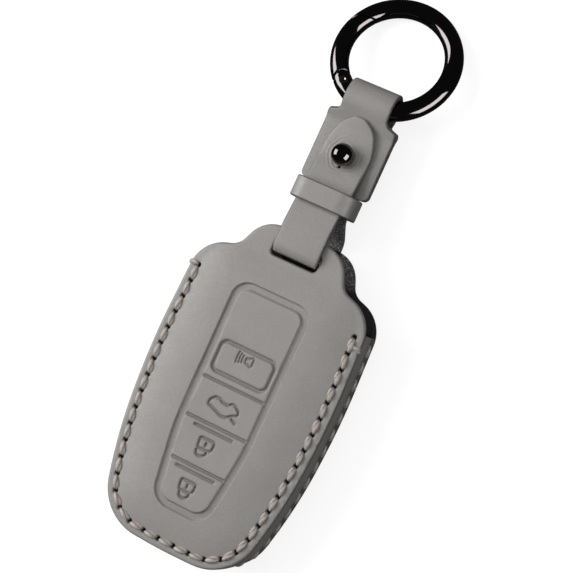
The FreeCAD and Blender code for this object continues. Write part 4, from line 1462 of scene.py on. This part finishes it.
@dataclass
class Stitching:
    """Saddle stitches round the case, on the front, the rear and the side wall, and the edge wraps.

    Attributes:
        wraps: side, rise above the seam's end, drop and hidden length of each edge wrap.
    """

    case: Case
    length: float = 4.10
    half_width: float = 0.76
    height: float = 0.72
    sink: float = 0.45
    slant_deg: float = 8.0
    uneven_deg: float = 4.0
    uneven_share: float = 0.05
    slant_beat: float = 2.4
    size_beat: float = 3.7
    twist: float = 1.1
    plies: int = 3
    ply_depth: float = 0.09
    valley_shade: float = 0.75
    stitch_points: tuple[int, int] = (15, 15)
    sharp_deg: float = 80.0
    lie: float = 0.16
    side_level: float = 6.0
    side_stand: float = 0.35
    wraps: tuple[tuple[float, float, float, float], ...] = ((-1.0, 0.2, 0.6, 0.0), (1.0, -2.3, 0.5, 0.9))
    wrap_radius: float = 0.62
    wrap_flatness: float = 0.6
    wrap_back: float = 0.35
    wrap_dive: float = 0.7
    wrap_stand_share: float = 0.15
    wrap_rise_shares: tuple[float, float] = (0.35, 0.2)
    wrap_bend_radii: tuple[float, float, float] = (0.5, 0.9, 0.3)
    wrap_tight: float = 0.5
    wrap_tight_span: tuple[float, float] = (0.22, 0.82)
    wrap_tight_run: float = 0.1
    wrap_plies: int = 2
    wrap_twist: float = 1.3
    wrap_valley_shade: float = 0.7
    wrap_sunk_run: float = 1.3
    wrap_points: tuple[int, int] = (70, 12)

    def one(self) -> Shape:
        """One stitch along X: a plump twisted thread whose ends dive into the awl holes.

        At the share s of the length, from -1 to 1, the middle is at level sink (cos(pi s / 2) - 1), and
        the section is an ellipse whose size is (1 - |s|^2.6)^0.7, with the plies in it:
        radius 1 + ply depth cos(plies (angle - twist s)).

        Returns:
            The stitch. The mark valley, painted shade, is high between its plies, and the mark sunk,
            painted shade, at its ends.
        """
        along, around = self.stitch_points
        s = np.linspace(-0.985, 0.985, along)[:, None]
        angle = np.linspace(0, 2 * math.pi, around, endpoint=False)[None]
        size = (1 - np.abs(s) ** 2.6) ** 0.7
        strand = np.cos(self.plies * (angle - self.twist * s))
        radius = size * (1 + self.ply_depth * strand)
        points = np.stack([
            s * self.length / 2 + 0 * angle,
            radius * self.half_width * np.cos(angle),
            radius * self.height * np.sin(angle) + self.sink * (np.cos(math.pi * s / 2) - 1),
        ], axis=2).reshape(-1, 3)
        quads = grid_faces(along, around, round_columns=True)
        # painted shade between the plies and at the ends in the holes
        valley = ease((-strand - 0.40) / 0.50) * self.valley_shade
        sunk = ease((np.abs(s) - 0.70) / 0.28) + 0 * angle
        marks = {"valley": valley.ravel(), "sunk": sunk.ravel()}
        return Shape(points, [quads, *end_caps(along, around)], marks)

    def laid(self, holes: np.ndarray, level: np.ndarray, facing: Optional[float]) -> Shape:
        """A stitch between each two holes, turned to its run.

        Args:
            holes: places of the awl holes.
            level: level of the surface at each stitch.
            facing: 1 to lie on the front and -1 on the rear; none to lie on the side wall.

        Returns:
            All the stitches as one shape.
        """
        one = self.one()
        middle = (holes[1:] + holes[:-1]) / 2
        flat = unit(holes[1:] - holes[:-1])
        count = len(middle)
        along = np.column_stack([flat, np.zeros(count)])
        if facing is None:
            out = np.column_stack([flat[:, 1], -flat[:, 0], np.zeros(count)])
        else:
            out = np.tile((0.0, 0.0, facing), (count, 1))
        across = np.cross(out, along)
        order = np.arange(count)[:, None]
        slant = np.radians(self.slant_deg + self.uneven_deg * np.sin(self.slant_beat * order))
        turned = along * np.cos(slant) + across * np.sin(slant)
        size = 1 + self.uneven_share * np.sin(self.size_beat * order)
        across = np.cross(out, turned) * size
        start = np.column_stack([middle, level])
        points = (start[:, None] + one.points[None, :, :1] * turned[:, None]
                  + one.points[None, :, 1:2] * across[:, None] + one.points[None, :, 2:] * out[:, None])
        number = len(one.points) * np.arange(count)
        faces = [(face[None] + number[:, None, None]).reshape(-1, face.shape[1]) for face in one.faces]
        marks = {name: np.tile(values, count) for name, values in one.marks.items()}
        return Shape(points.reshape(-1, 3), faces, marks)

    def wrap(self, side: float, height: float, drop: float, hidden: float) -> Shape:
        """A strand over the edge at the mouth: a flattened thread carried along a path round the rim.

        Args:
            side: 1 on the right and -1 on the left.
            height: height of its upper end.
            drop: how much lower its other end lies.
            hidden: how far it dives into the wall below the rim; 0 to go on round the rear rim.

        Returns:
            The strand, with the marks of a stitch.
        """
        case, r = self.case, self.wrap_radius
        inner = case.mouth_half(height, case.seam_inset - self.wrap_back)
        edge = case.mouth_half(height, 0.0) + self.wrap_stand_share * r
        front, rear = case.rim_level, case.crown_rise
        down, dive = case.leather / 2, self.wrap_dive
        inner_rise, edge_rise = (share * r for share in self.wrap_rise_shares)
        inner_bend, edge_bend, tuck_bend = self.wrap_bend_radii
        over = (
            (inner, front - dive, 0.0),
            (inner, front + inner_rise, inner_bend),
            (edge, front + edge_rise, edge_bend),
        )
        if hidden:
            onward = ((edge, front - down, tuck_bend), (edge - hidden, front - 2 * down, 0.0))
        else:
            onward = (
                (edge, rear - edge_rise, edge_bend),
                (inner, rear - inner_rise, inner_bend),
                (inner, rear + dive, 0.0),
            )
        rows, columns = self.wrap_points
        line = resampled(Outline(over + onward, closed=False).polyline(9), rows)
        normal = left_normals(line)
        angle = np.linspace(0, 2 * math.pi, columns, endpoint=False)
        share = np.linspace(0, 1, rows)[:, None]
        run = np.linalg.norm(np.diff(line, axis=0), axis=1).sum()
        strand = np.cos(self.wrap_plies * angle[None] - self.wrap_twist * run * share)
        low, high = self.wrap_tight_span
        pulled = self.wrap_tight * ease((share - low) / self.wrap_tight_run)
        tight = 1 - pulled * ease((high - share) / self.wrap_tight_run) * (not hidden)
        radius = r * tight * (1 + self.ply_depth * strand)
        out = radius * np.cos(angle) * self.wrap_flatness
        place = line[:, None] + normal[:, None] * out[:, :, None]
        across = height - drop * share + radius * np.sin(angle)
        points = np.stack([side * place[:, :, 0], across, place[:, :, 1]], axis=2)
        faces = [grid_faces(rows, columns, round_columns=True), *end_caps(rows, columns)]
        if side < 0:
            faces = [face[:, ::-1] for face in faces]
        # painted shade between the plies and at the ends in the holes
        valley = ease((-strand - 0.5) / 0.5) * self.wrap_valley_shade
        sunk = 1 - ease(np.minimum(share, 1 - share) * run / self.wrap_sunk_run) + 0 * angle
        return Shape(points.reshape(-1, 3), faces, {"valley": valley.ravel(), "sunk": sunk.ravel()})

    def build(self, finishes: Finishes) -> None:
        """Makes the three seams and the wraps, which ride on the case.

        Args:
            finishes: materials by name.
        """
        case = self.case
        holes = case.holes(case.seam_inset)
        rise = self.lie + case.swell((holes[1:] + holes[:-1]) / 2)[0]
        side_level = np.full(case.stitch_count, self.side_level)
        front = self.laid(holes, case.rim_level + rise, 1.0)
        rear = self.laid(holes, case.crown_rise - rise, -1.0)
        side = self.laid(case.holes(case.lap_step - self.side_stand), side_level, None)
        wraps = [self.wrap(hand, case.seam_start + lift, drop, hidden)
                 for hand, lift, drop, hidden in self.wraps]
        pieces = (
            ("front_seam", front, "front_stitching"),
            ("rear_seam", Shape.joined([rear, side]), "rear_stitching"),
            ("edge_wraps", Shape.joined(wraps), "seam_wraps"),
        )
        for name, shape, node in pieces:
            piece = make_piece(name, shape, [finishes["thread"]], sharp_deg=self.sharp_deg)
            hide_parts(node)
            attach(piece, Body.CASE.value)


# Strap


@dataclass
class Strap:
    """The strap: legs and bight, double plate with its folded neck, tongue and keeper."""

    case: Case
    width: float = 12.0
    leather: float = 1.4
    edge_radius: float = 0.35
    bight_height: float = 77.85
    rear_leg_level: float = 1.0
    front_leg_level: float = 17.0
    plate_foot: float = 96.95
    plate_length: float = 18.6
    plate_width: float = 18.2
    plate_radius: float = 1.5
    rear_ply_level: float = 8.85
    front_ply_level: float = 10.35
    head_level: float = 9.6
    neck_width: float = 12.4
    neck_shoulder_run: float = 1.8
    neck_shoulder_start: float = 0.55
    neck_shoulder_power: float = 0.8
    head_corner_share: float = 0.75
    plate_step: float = 0.16
    loop_height: float = 119.45
    loop_radius: float = 4.1
    spread_run: float = 6.5
    leg_end: float = 94.2
    leg_step: float = 0.35
    leg_bend: tuple[float, float] = (80.0, 91.5)
    slot_shadow_level: float = 16.4
    slot_shadow_run: float = 1.2
    tongue_start: float = 93.9
    tongue_root: float = 97.9
    tongue_root_level: float = 14.2
    tongue_level: float = 12.5
    tongue_ramp: float = 5.5
    tongue_width: float = 12.3
    tongue_tip: float = 115.25
    tongue_tip_run: float = 3.4
    tongue_tip_lift: float = 0.7
    tongue_crown: float = 0.5
    tongue_crown_start: float = 2.0
    tongue_crown_run: float = 6.0
    tongue_radii: tuple[float, float, float] = (14.0, 6.0, 2.2)
    tongue_shares: tuple[float, float] = (0.70, 0.20)
    tongue_edge_radius: float = 0.4
    tongue_edge_drop: float = 0.8
    tongue_edge_run: float = 0.35
    tongue_edge_shade: float = 0.3
    tongue_step: float = 0.16
    tongue_bend: tuple[float, float] = (95.5, 100.0)
    point_length: float = 7.0
    cheek_drop: float = 2.25
    stud_height: float = 105.15
    buttonhole_radius: float = 2.0
    slit_length: float = 3.3
    slit_width: float = 0.5
    dimple_radius: float = 4.2
    dimple_depth: float = 0.35
    wrinkle_radius: float = 6.0
    wrinkle_step: float = 0.95
    wrinkle_depth: float = 0.11
    wrinkle_run: float = 2.5
    keeper_foot: float = 91.35
    keeper_length: float = 5.4
    keeper_leather: float = 1.2
    keeper_half_widths: tuple[float, float] = (7.0, 7.8)
    keeper_radii: tuple[float, float] = (2.2, 3.4)
    keeper_edge_radius: float = 0.4
    keeper_points: int = 150

    def legs(self) -> Shape:
        """Both legs and the bight through the slots, as one strip; its inner side is suede.

        Returns:
            The strip. The mark hole paints shade on it within the slots.
        """
        path = SidePath.along((
            (self.plate_foot + 0.3, self.rear_ply_level, 0.0),
            (self.plate_foot - 6.4, self.rear_ply_level, 3.5),
            (self.case.length + 2.0, self.rear_leg_level, 3.5),
            (self.bight_height, self.rear_leg_level, 1.5),
            (self.bight_height, self.front_leg_level, 2.1),
            (self.case.length + 1.5, self.front_leg_level, 9.0),
            (self.tongue_root, self.tongue_root_level + 0.2, 0.0),
        ), self.leg_step)
        keep = np.arange(len(path.places)) < len(path.places) // 2
        keep |= path.places[:, 0] <= self.leg_end
        path = SidePath(path.places[keep], path.normals[keep])
        shape = strip(path, np.full(len(path.places), self.width / 2), self.leather, self.edge_radius)
        _, height, level = shape.points.T
        # painted shadow, near black, where the strip runs down into the slots
        within = ease((self.slot_shadow_level - level) / self.slot_shadow_run)
        shape.marks["hole"] = within * ease(self.case.length - height)
        return shape

    def plate_half(self, heights: np.ndarray) -> np.ndarray:
        """Half width of the plate and neck: rounded corners, then a shoulder down to the neck.

        Args:
            heights: where it is taken.

        Returns:
            The half widths.
        """
        half, neck, r = self.plate_width / 2, self.neck_width / 2, self.plate_radius
        head = self.plate_foot + self.plate_length
        from_foot = np.clip(heights - self.plate_foot, 0, r)
        foot_corner = half - r + np.sqrt(np.maximum(r * r - (r - from_foot) ** 2, 0))
        past = np.clip(heights - (head - r), 0, r)
        head_corner = half - (r - np.sqrt(np.maximum(r * r - past ** 2, 0))) * self.head_corner_share
        shoulder = np.clip((heights - head + self.neck_shoulder_start) / self.neck_shoulder_run, 0, 1)
        fall = np.sin(shoulder * math.pi / 2) ** self.neck_shoulder_power
        return np.minimum(foot_corner, head_corner + (neck - head_corner) * fall)

    def plate(self) -> Shape:
        """The double plate: one strip that runs up the front ply, round the ring and down the rear ply.

        The fold is an arc about the ring's wire. It meets the plies along the tangents from where they
        part, at the angle asin(radius / reach) - atan2(drop, run) to them.

        Returns:
            The strip.
        """
        drop = self.head_level - self.rear_ply_level
        spread = self.loop_height - self.spread_run
        reach = math.hypot(self.spread_run, drop)
        fall = math.asin(self.loop_radius / reach) - math.atan2(drop, self.spread_run)
        fold = self.loop_height + self.loop_radius
        corner = drop + math.tan(fall) * (fold - spread)
        path = SidePath.along((
            (self.plate_foot, self.front_ply_level, 0.0),
            (spread, self.front_ply_level, 4.0),
            (fold, self.head_level + corner, self.loop_radius),
            (fold, self.head_level - corner, self.loop_radius),
            (spread, self.rear_ply_level, 4.0),
            (self.plate_foot, self.rear_ply_level, 0.0),
        ), self.plate_step)
        return strip(path, self.plate_half(path.places[:, 0]), self.leather, self.edge_radius)

    def tongue(self) -> Shape:
        """The tongue: a trimmed grid with a pointed tip, buttonhole and slit, bent along its path.

        Both sides are offset along the path's normal by half the leather, with rolled edges and a bow
        that grows with the square of x. The upper side dips round the stud and ripples in rings.

        Returns:
            The tongue.
        """
        half = self.tongue_width / 2
        shoulder_radius, cheek_radius, tip_radius = self.tongue_radii
        cheek_share, tip_share = self.tongue_shares
        plan = Outline.mirrored([
            (half, self.tongue_start, 0.0),
            (half, self.tongue_tip - self.point_length, shoulder_radius),
            (cheek_share * half, self.tongue_tip - self.cheek_drop, cheek_radius),
            (tip_share * half, self.tongue_tip, tip_radius),
        ]).polyline(FINE_ARC)
        gap = math.asin(self.slit_width / 2 / self.buttonhole_radius)
        turn = np.linspace(-math.pi / 2 + gap, 1.5 * math.pi - gap, 40)
        hole = self.buttonhole_radius * np.column_stack([np.cos(turn), np.sin(turn)])
        slit_end = [(-self.slit_width / 2, -self.slit_length), (self.slit_width / 2, -self.slit_length)]
        keyhole = np.concatenate([hole, slit_end]) + (0, self.stud_height)
        grid = TrimmedGrid.cut(self.tongue_step, plan, [keyhole])
        x, height = grid.points.T
        path = SidePath.along((
            (self.tongue_start - 1.0, self.tongue_root_level + 0.75, 0.0),
            (self.tongue_root + self.tongue_ramp, self.tongue_level, 9.0),
            (self.tongue_tip - self.tongue_tip_run, self.tongue_level, 8.0),
            (self.tongue_tip + self.tongue_tip_run, self.tongue_level + 2 * self.tongue_tip_lift, 0.0),
        ), 0.2)
        level, along, outwards = (np.interp(height, path.places[:, 0], column) for column in (
            path.places[:, 1], path.normals[:, 0], path.normals[:, 1]))
        roll = self.leather / 2 - rolled(grid.depth, self.tongue_edge_radius) * self.tongue_edge_drop
        from_stud = np.linalg.norm(grid.points - (0, self.stud_height), axis=1)
        dip = self.dimple_depth * ease(1 - from_stud / self.dimple_radius)
        about = np.arctan2(x, height - self.stud_height)
        phase = 2 * math.pi * from_stud / self.wrinkle_step + np.sin(3 * about) + np.sin(5 * about)
        ripple = self.wrinkle_depth * (0.5 + 0.5 * np.sin(phase))
        dip = dip + ripple * ease((self.wrinkle_radius - from_stud) / self.wrinkle_run)
        past_root = ease((height - self.tongue_root - self.tongue_crown_start) / self.tongue_crown_run)
        bow = self.tongue_crown * past_root * (x / half) ** 2
        top, under = (
            np.column_stack([x, height + out * along, level + out * outwards])
            for out in (roll - dip - bow, -roll - bow))
        edge = 1 - ease(grid.depth / self.tongue_edge_run)
        return grid.solid(top, under, {"edge": edge * self.tongue_edge_shade, "hole": np.zeros(len(edge))})

    def keeper(self) -> Shape:
        """The keeper: a narrow strip carried round a rounded four-sided loop.

        The loop lies across the strap, so the strip is made along Y and its path turned into X and Z.

        Returns:
            The endless band.
        """
        low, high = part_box("strap_keeper")
        inset = self.keeper_leather / 2
        levels = (low.z / METRES + inset, high.z / METRES - inset)
        loop = Outline.mirrored(list(zip(self.keeper_half_widths, levels, self.keeper_radii))).polyline(13)
        places = resampled(loop, self.keeper_points, closed=True)
        path = SidePath(places, -left_normals(places, closed=True))
        half_lengths = np.full(len(places), self.keeper_length / 2)
        band = strip(path, half_lengths, self.keeper_leather, self.keeper_edge_radius, closed=True)
        x, u, level = band.points.T
        band.points = np.column_stack([u, self.keeper_foot + self.keeper_length / 2 + x, level])
        return band

    def build(self, finishes: Finishes) -> None:
        """Makes the strap's pieces, hides the frame's strap parts and rides the plate and keeper on their
        bodies.

        Args:
            finishes: materials by name.
        """
        both = [finishes["leather"], finishes["strap_suede"]]
        legs = make_piece("strap_legs", self.legs(), both)
        plate = make_piece("strap_head_plate", self.plate(), both)
        tongue = make_piece("strap_tongue", self.tongue(), both[:1])
        keeper = make_piece("keeper_band", self.keeper(), both)
        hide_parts("strap_loop")
        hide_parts("strap_plate")
        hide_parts("tongue_flap")
        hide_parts("strap_keeper")
        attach(plate, Body.STRAP_HEAD.value)
        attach(keeper, Body.KEEPER.value)
        bends = (
            (legs, Body.CASE, Body.STRAP_HEAD, self.leg_bend),
            (tongue, Body.STRAP_HEAD, Body.TONGUE, self.tongue_bend),
        )
        for piece, body, next_body, heights in bends:
            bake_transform(piece)


# Metal


@dataclass
class BallStud:
    """The ball stud and the slotted screw behind it.

    Attributes:
        height: where it stands on the strap.
    """

    height: float
    plate_top: float = 11.05
    base_radius: float = 3.3
    base_thickness: float = 0.6
    neck_radius: float = 1.7
    ball_radius: float = 2.8
    ball_rise: float = 4.3

    def head(self) -> Shape:
        """Base, waisted neck and ball: a turned profile of arcs.

        Returns:
            The stud without its screw.
        """
        top = self.plate_top + self.ball_rise
        start = -math.acos(self.neck_radius / self.ball_radius) + 0.12
        turn = np.linspace(start, math.pi / 2, 36)
        ball = np.column_stack([self.ball_radius * np.cos(turn), top + self.ball_radius * np.sin(turn)])
        base = self.plate_top
        foot = np.array([
            (0.0, base), (self.base_radius - 0.2, base), (self.base_radius, base + 0.2),
            (self.base_radius, base + self.base_thickness - 0.25),
            (self.base_radius - 0.25, base + self.base_thickness),
            (self.neck_radius + 0.3, base + self.base_thickness + 0.05),
            (self.neck_radius, base + self.base_thickness + 0.5),
        ])
        profile = np.concatenate([foot, ball])
        profile[-1, 0] = 0.0
        return revolved(profile, 0.0, self.height)

    def build(self, finishes: Finishes) -> None:
        """Makes the stud; the screw keeps the frame's shape.

        Args:
            finishes: materials by name.
        """
        piece = make_piece("ball_stud", self.head(), [finishes["black_nickel"]])
        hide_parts("stud_head")
        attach(piece, Body.STRAP_HEAD.value)
        dress_node("stud_screw", finishes["black_nickel"])


@dataclass
class GateRing:
    """The spring gate ring: body, gate and hinge pin. Its plunger and spring keep the frame's shapes.

    Attributes:
        loop_height: height of the strap's loop that it hangs in.
        loop_level: level of that loop.
    """

    loop_height: float
    loop_level: float
    mean_radius: float = 14.1
    wire_radius: float = 2.35
    hinge_deg: float = 231.0
    cut_deg: float = 152.5
    cut_slant_deg: float = 10.5
    joint_gap: float = 0.12
    cheek_radius: float = 2.55
    cheek_gap: float = 0.2
    pin_radius: float = 1.1
    pin_rise: float = 0.2
    swing_offset: float = 0.8
    end_radius: float = 0.40
    around_points: int = 48
    body_points: int = 200
    gate_points: int = 70
    pin_points: int = 40

    def __post_init__(self) -> None:
        """Reads the ring's tilt from the frame: the gate hinge turns about the ring's axis."""
        hinge = next(joint for joint in frame["joints"] if joint["name"] == "gate_hinge")
        self.axis = -np.array(hinge["axis"], dtype=float)
        self.up = np.cross(self.axis, (1.0, 0.0, 0.0))
        arm = self.mean_radius - self.swing_offset
        self.centre = np.array((0.0, self.loop_height, self.loop_level)) + self.up * arm

    def hung(self, points: np.ndarray) -> np.ndarray:
        """Points of the flat ring, hung in the strap's loop."""
        x, y, z = np.split(points, 3, axis=1)
        return self.centre + x * (1.0, 0.0, 0.0) + y * self.up + z * self.axis

    def sector(self, starts: np.ndarray, ends: np.ndarray, rows: int, angle: np.ndarray) -> Shape:
        """A stretch of the ring whose ends follow curves round the wire, closed by upright walls.

        The wire's circle is carried round the ring: radius R + f r cos a, level f r sin a. Each line
        along the wire runs from its own start to its own end, and f falls by a quarter circle at the
        ends. The end walls carry the last section down to the middle level.

        Args:
            starts: angle round the ring where each line starts.
            ends: angle where it ends.
            rows: points along a line.
            angle: angles round the wire.

        Returns:
            The closed stretch.
        """
        quarter = np.linspace(0, math.pi / 2, 7)[:, None]
        back = self.end_radius * (1 - np.sin(quarter)) / self.mean_radius
        drop = self.end_radius * (1 - np.cos(quarter)) / self.wire_radius
        share = np.linspace(0, 1, rows)[1:-1, None]
        reach = self.end_radius / self.mean_radius
        middle = starts + reach + (ends - starts - 2 * reach) * share
        turn = np.concatenate([starts + back[::-1], middle, ends - back])
        size = np.concatenate([1 - drop[::-1], np.ones((rows - 2, 1)), 1 - drop])
        fall = np.array([0.9, 0.0])[:, None]
        high = np.concatenate([fall[::-1], np.ones((len(turn), 1)), fall])
        turn, size = (np.pad(rows_of, ((2, 2), (0, 0)), mode="edge") for rows_of in (turn, size))
        radius = self.mean_radius + size * self.wire_radius * np.cos(angle)
        level = high * size * self.wire_radius * np.sin(angle)
        points = np.stack([radius * np.cos(turn), radius * np.sin(turn), level], axis=2)
        quads = grid_faces(len(turn), len(angle), round_columns=True)[:, ::-1]
        return Shape(self.hung(points.reshape(-1, 3)), [quads])

    def knuckle(self, radius: float, angle: np.ndarray) -> np.ndarray:
        """How far before the hinge each line along the wire meets a cylinder about the hinge.

        By the law of cosines, for a line at the distance q from the ring's middle and a ring of radius R:
        cos t = (q^2 + R^2 - radius^2) / (2 q R).

        Args:
            radius: of the cylinder.
            angle: angles round the wire.

        Returns:
            The angle round the ring for each line.
        """
        mean = self.mean_radius
        line = mean + (self.wire_radius - self.end_radius) * np.cos(angle)
        return np.arccos((line ** 2 + mean ** 2 - radius ** 2) / (2 * line * mean))

    def build(self, finishes: Finishes) -> None:
        """Makes the ring's body, its gate and its pin.

        Args:
            finishes: materials by name.
        """
        angle = np.linspace(0, 2 * math.pi, self.around_points, endpoint=False)
        hinge = math.radians(self.hinge_deg)
        cut = math.radians(self.cut_deg) + math.radians(self.cut_slant_deg) * np.cos(angle)
        gap = self.joint_gap / self.mean_radius
        cheek = self.knuckle(self.cheek_radius, angle)
        cove = self.knuckle(self.cheek_radius + self.cheek_gap, angle)
        whole = 2 * math.pi
        body_shape = self.sector(hinge - cheek, cut + whole - gap / 2, self.body_points, angle)
        gate_shape = self.sector(cut + gap / 2, hinge - cove, self.gate_points, angle)
        metal = [finishes["black_nickel"]]
        body = make_piece("ring_wire", body_shape, metal)
        gate = make_piece("ring_gate_arm", gate_shape, metal)
        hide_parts("ring_body")
        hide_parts("ring_gate")
        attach(body, Body.RING.value)
        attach(gate, Body.GATE.value)
        pin = make_piece("hinge_pin", self.pin(), [finishes["hinge_steel"]])
        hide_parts("gate_pin")
        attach(pin, Body.RING.value)
        for node in ("gate_plunger", "gate_spring"):
            dress_node(node, finishes["spring_steel"])

    def pin(self) -> Shape:
        """The riveted pin: a turned profile with a low dome and a dimple on each head.

        Returns:
            The pin.
        """
        hinge = math.radians(self.hinge_deg)
        r, top = self.pin_radius, self.wire_radius + self.pin_rise
        upper = np.array([
            (r, top - 0.45), (r, top - 0.18), (0.88 * r, top - 0.03), (0.7 * r, top), (0.5 * r, top - 0.06),
            (0.36 * r, top - 0.2), (0.2 * r, top - 0.24), (0.0, top - 0.25)])
        lower = upper[::-1] * (1, -1)
        shape = revolved(np.concatenate([lower, upper]), self.mean_radius * math.cos(hinge),
                         self.mean_radius * math.sin(hinge), self.pin_points)
        shape.points = self.hung(shape.points)
        return shape


# Stage


class LampUse(Enum):
    """What a soft box lights: surfaces or mirrored highlights."""

    FILL = "fill"
    REFLECTION = "reflection"


@dataclass(frozen=True)
class SoftBox:
    """A soft box that is aimed at the cover.

    Attributes:
        name: name of the lamp.
        direction: where it stands, as shares to the picture's right, its top and the camera.
        distance: from the cover.
        size: of the box round the camera's axis and along it.
        power: in watts.
        use: what the box lights.
    """

    name: str
    direction: Triple
    distance: float
    size: tuple[float, float]
    power: float
    use: LampUse


SOFT_BOXES = (
    SoftBox("key_box", (-0.80, 0.35, 0.50), 620.0, (460.0, 400.0), 4.6, LampUse.FILL),
    SoftBox("key_card", (-0.89, 0.41, 0.20), 620.0, (460.0, 380.0), 3.9, LampUse.REFLECTION),
    SoftBox("top_box", (-0.15, 0.35, 0.92), 700.0, (500.0, 500.0), 1.5, LampUse.FILL),
    SoftBox("low_box", (0.88, -0.38, 0.28), 700.0, (500.0, 300.0), 1.3, LampUse.FILL),
    SoftBox("side_card", (0.63, -0.45, 0.63), 620.0, (560.0, 400.0), 4.8, LampUse.REFLECTION),
)


@dataclass
class Studio:
    """Floor, lamps and the camera at the photograph's angle."""

    picture_px: float = 573.0
    focal_px: float = 1635.2
    azimuth_deg: float = 94.97
    elevation_deg: float = 74.24
    roll_deg: float = -70.34
    target: Triple = (-0.85, 28.88, 9.0)
    distance: float = 400.0
    near_clip: float = 10.0
    sensor_mm: float = 36.0
    floor_size: float = 4000.0
    floor_colour: Colour = (0.22, 0.22, 0.22)
    floor_roughness: float = 0.9
    floor_glow: float = 0.86
    room_light: float = 0.20
    room_mirrored: float = 0.03

    def axes(self) -> tuple[Vector, Vector, Vector]:
        """The picture's own directions in the frame.

        Returns:
            The directions to the picture's right, its top and the camera.
        """
        turn, rise = math.radians(self.azimuth_deg), math.radians(self.elevation_deg)
        back = Vector((math.sin(turn) * math.cos(rise), -math.cos(turn) * math.cos(rise), math.sin(rise)))
        right = Vector((0, 0, 1)).cross(back).normalized()
        up = back.cross(right)
        roll = math.radians(self.roll_deg)
        cosine, sine = math.cos(roll), math.sin(roll)
        return right * cosine + up * sine, up * cosine - right * sine, back

    def camera(self) -> None:
        """Adds the camera and makes it the scene's."""
        right, up, back = self.axes()
        data = bpy.data.cameras.new("camera")
        data.sensor_width = self.sensor_mm
        data.lens = self.focal_px * self.sensor_mm / self.picture_px
        data.clip_start = self.near_clip * METRES
        camera = bpy.data.objects.new("camera", data)
        bpy.context.scene.collection.objects.link(camera)
        turned = Matrix((right, up, back)).transposed().to_4x4()
        place = Vector(self.target) + back * self.distance
        camera.matrix_world = Matrix.Translation(place * METRES) @ turned
        bpy.context.scene.camera = camera

    def lamp(self, box: SoftBox) -> None:
        """Adds a soft box.

        Args:
            box: its place, size and power.
        """
        right, up, back = self.axes()
        side, lift, forward = box.direction
        direction = (right * side + up * lift + back * forward).normalized()
        data = bpy.data.lights.new(box.name, "AREA")
        data.shape = "RECTANGLE"
        data.size, data.size_y = (length * METRES for length in box.size)
        data.energy = box.power
        lamp = bpy.data.objects.new(box.name, data)
        bpy.context.scene.collection.objects.link(lamp)
        across = back.cross(direction).normalized()
        turned = Matrix((across, direction.cross(across), direction)).transposed().to_4x4()
        place = Vector(self.target) + direction * box.distance
        lamp.matrix_world = Matrix.Translation(place * METRES) @ turned
        lamp.visible_diffuse = box.use is LampUse.FILL
        lamp.visible_glossy = box.use is LampUse.REFLECTION

    def floor(self) -> None:
        """Adds the pale floor: lifted towards white where the camera sees it, and dim in the metal."""
        half = self.floor_size * METRES / 2
        mesh = bpy.data.meshes.new("floor")
        corners = [(-half, -half, 0), (half, -half, 0), (half, half, 0), (-half, half, 0)]
        mesh.from_pydata(corners, [], [(0, 1, 2, 3)])
        nodes = Nodes("pale_floor")
        nodes.set(Base_Color=(*self.floor_colour, 1.0), Roughness=self.floor_roughness)
        nodes.set(Specular_IOR_Level=0.0)
        path = nodes.add("ShaderNodeLightPath")
        seen = nodes.add("ShaderNodeMath", operation="MAXIMUM")
        nodes.join(path.outputs["Is Camera Ray"], seen.inputs[0])
        nodes.join(path.outputs["Is Transmission Ray"], seen.inputs[1])
        glow = nodes.add("ShaderNodeEmission")
        nodes.join(nodes.ramp(seen.outputs[0], 0.0, 1.0, 0.0, self.floor_glow), glow.inputs["Strength"])
        lifted = nodes.add("ShaderNodeAddShader")
        nodes.join(nodes.shader.outputs[0], lifted.inputs[0])
        nodes.join(glow.outputs[0], lifted.inputs[1])
        dim = nodes.add("ShaderNodeEmission")
        dim.inputs["Strength"].default_value = self.room_mirrored
        mirrored = nodes.add("ShaderNodeMixShader")
        nodes.join(path.outputs["Is Glossy Ray"], mirrored.inputs[0])
        nodes.join(lifted.outputs[0], mirrored.inputs[1])
        nodes.join(dim.outputs[0], mirrored.inputs[2])
        nodes.join(mirrored.outputs[0], nodes.tree.nodes["Material Output"].inputs["Surface"])
        mesh.materials.append(nodes.material)
        floor = bpy.data.objects.new("floor", mesh)
        bpy.context.scene.collection.objects.link(floor)

    def sky(self) -> None:
        """Sets the even light of the room, which the camera sees as white and the metal as dim."""
        world = bpy.data.worlds.new("room")
        world.use_nodes = True
        tree = world.node_tree
        ground = tree.nodes["Background"]
        ground.inputs["Color"].default_value = (1, 1, 1, 1)
        path = tree.nodes.new("ShaderNodeLightPath")
        dimmed = tree.nodes.new("ShaderNodeMapRange")
        dimmed.inputs["To Min"].default_value = self.room_light
        dimmed.inputs["To Max"].default_value = self.room_mirrored
        strength = tree.nodes.new("ShaderNodeMapRange")
        strength.inputs["To Max"].default_value = 1.0
        tree.links.new(path.outputs["Is Glossy Ray"], dimmed.inputs["Value"])
        tree.links.new(path.outputs["Is Camera Ray"], strength.inputs["Value"])
        tree.links.new(dimmed.outputs["Result"], strength.inputs["To Min"])
        tree.links.new(strength.outputs["Result"], ground.inputs["Strength"])
        bpy.context.scene.world = world

    def build(self) -> None:
        """Sets up the stage, the light and the camera."""
        bpy.context.scene.view_settings.view_transform = "Standard"
        self.floor()
        self.sky()
        for box in SOFT_BOXES:
            self.lamp(box)
        self.camera()


def main() -> None:
    """Builds the finishes, the sub-assemblies and the stage, in that order."""
    logging.basicConfig(level=logging.INFO, format="%(message)s")
    finishes = {
        "leather": Leather().material(),
        "suede": Suede().material(),
        "strap_suede": STRAP_SUEDE.material(),
        "thread": WaxedThread().material(),
        "black_nickel": BLACK_NICKEL.material(),
        "hinge_steel": HINGE_STEEL.material(),
        "spring_steel": SPRING_STEEL.material(),
    }
    case = Case()
    strap = Strap(case)
    case.build(finishes)
    Stitching(case).build(finishes)
    strap.build(finishes)
    BallStud(strap.stud_height).build(finishes)
    GateRing(strap.loop_height, strap.head_level).build(finishes)
    Studio().build()


if __name__ == "__main__":
    main()
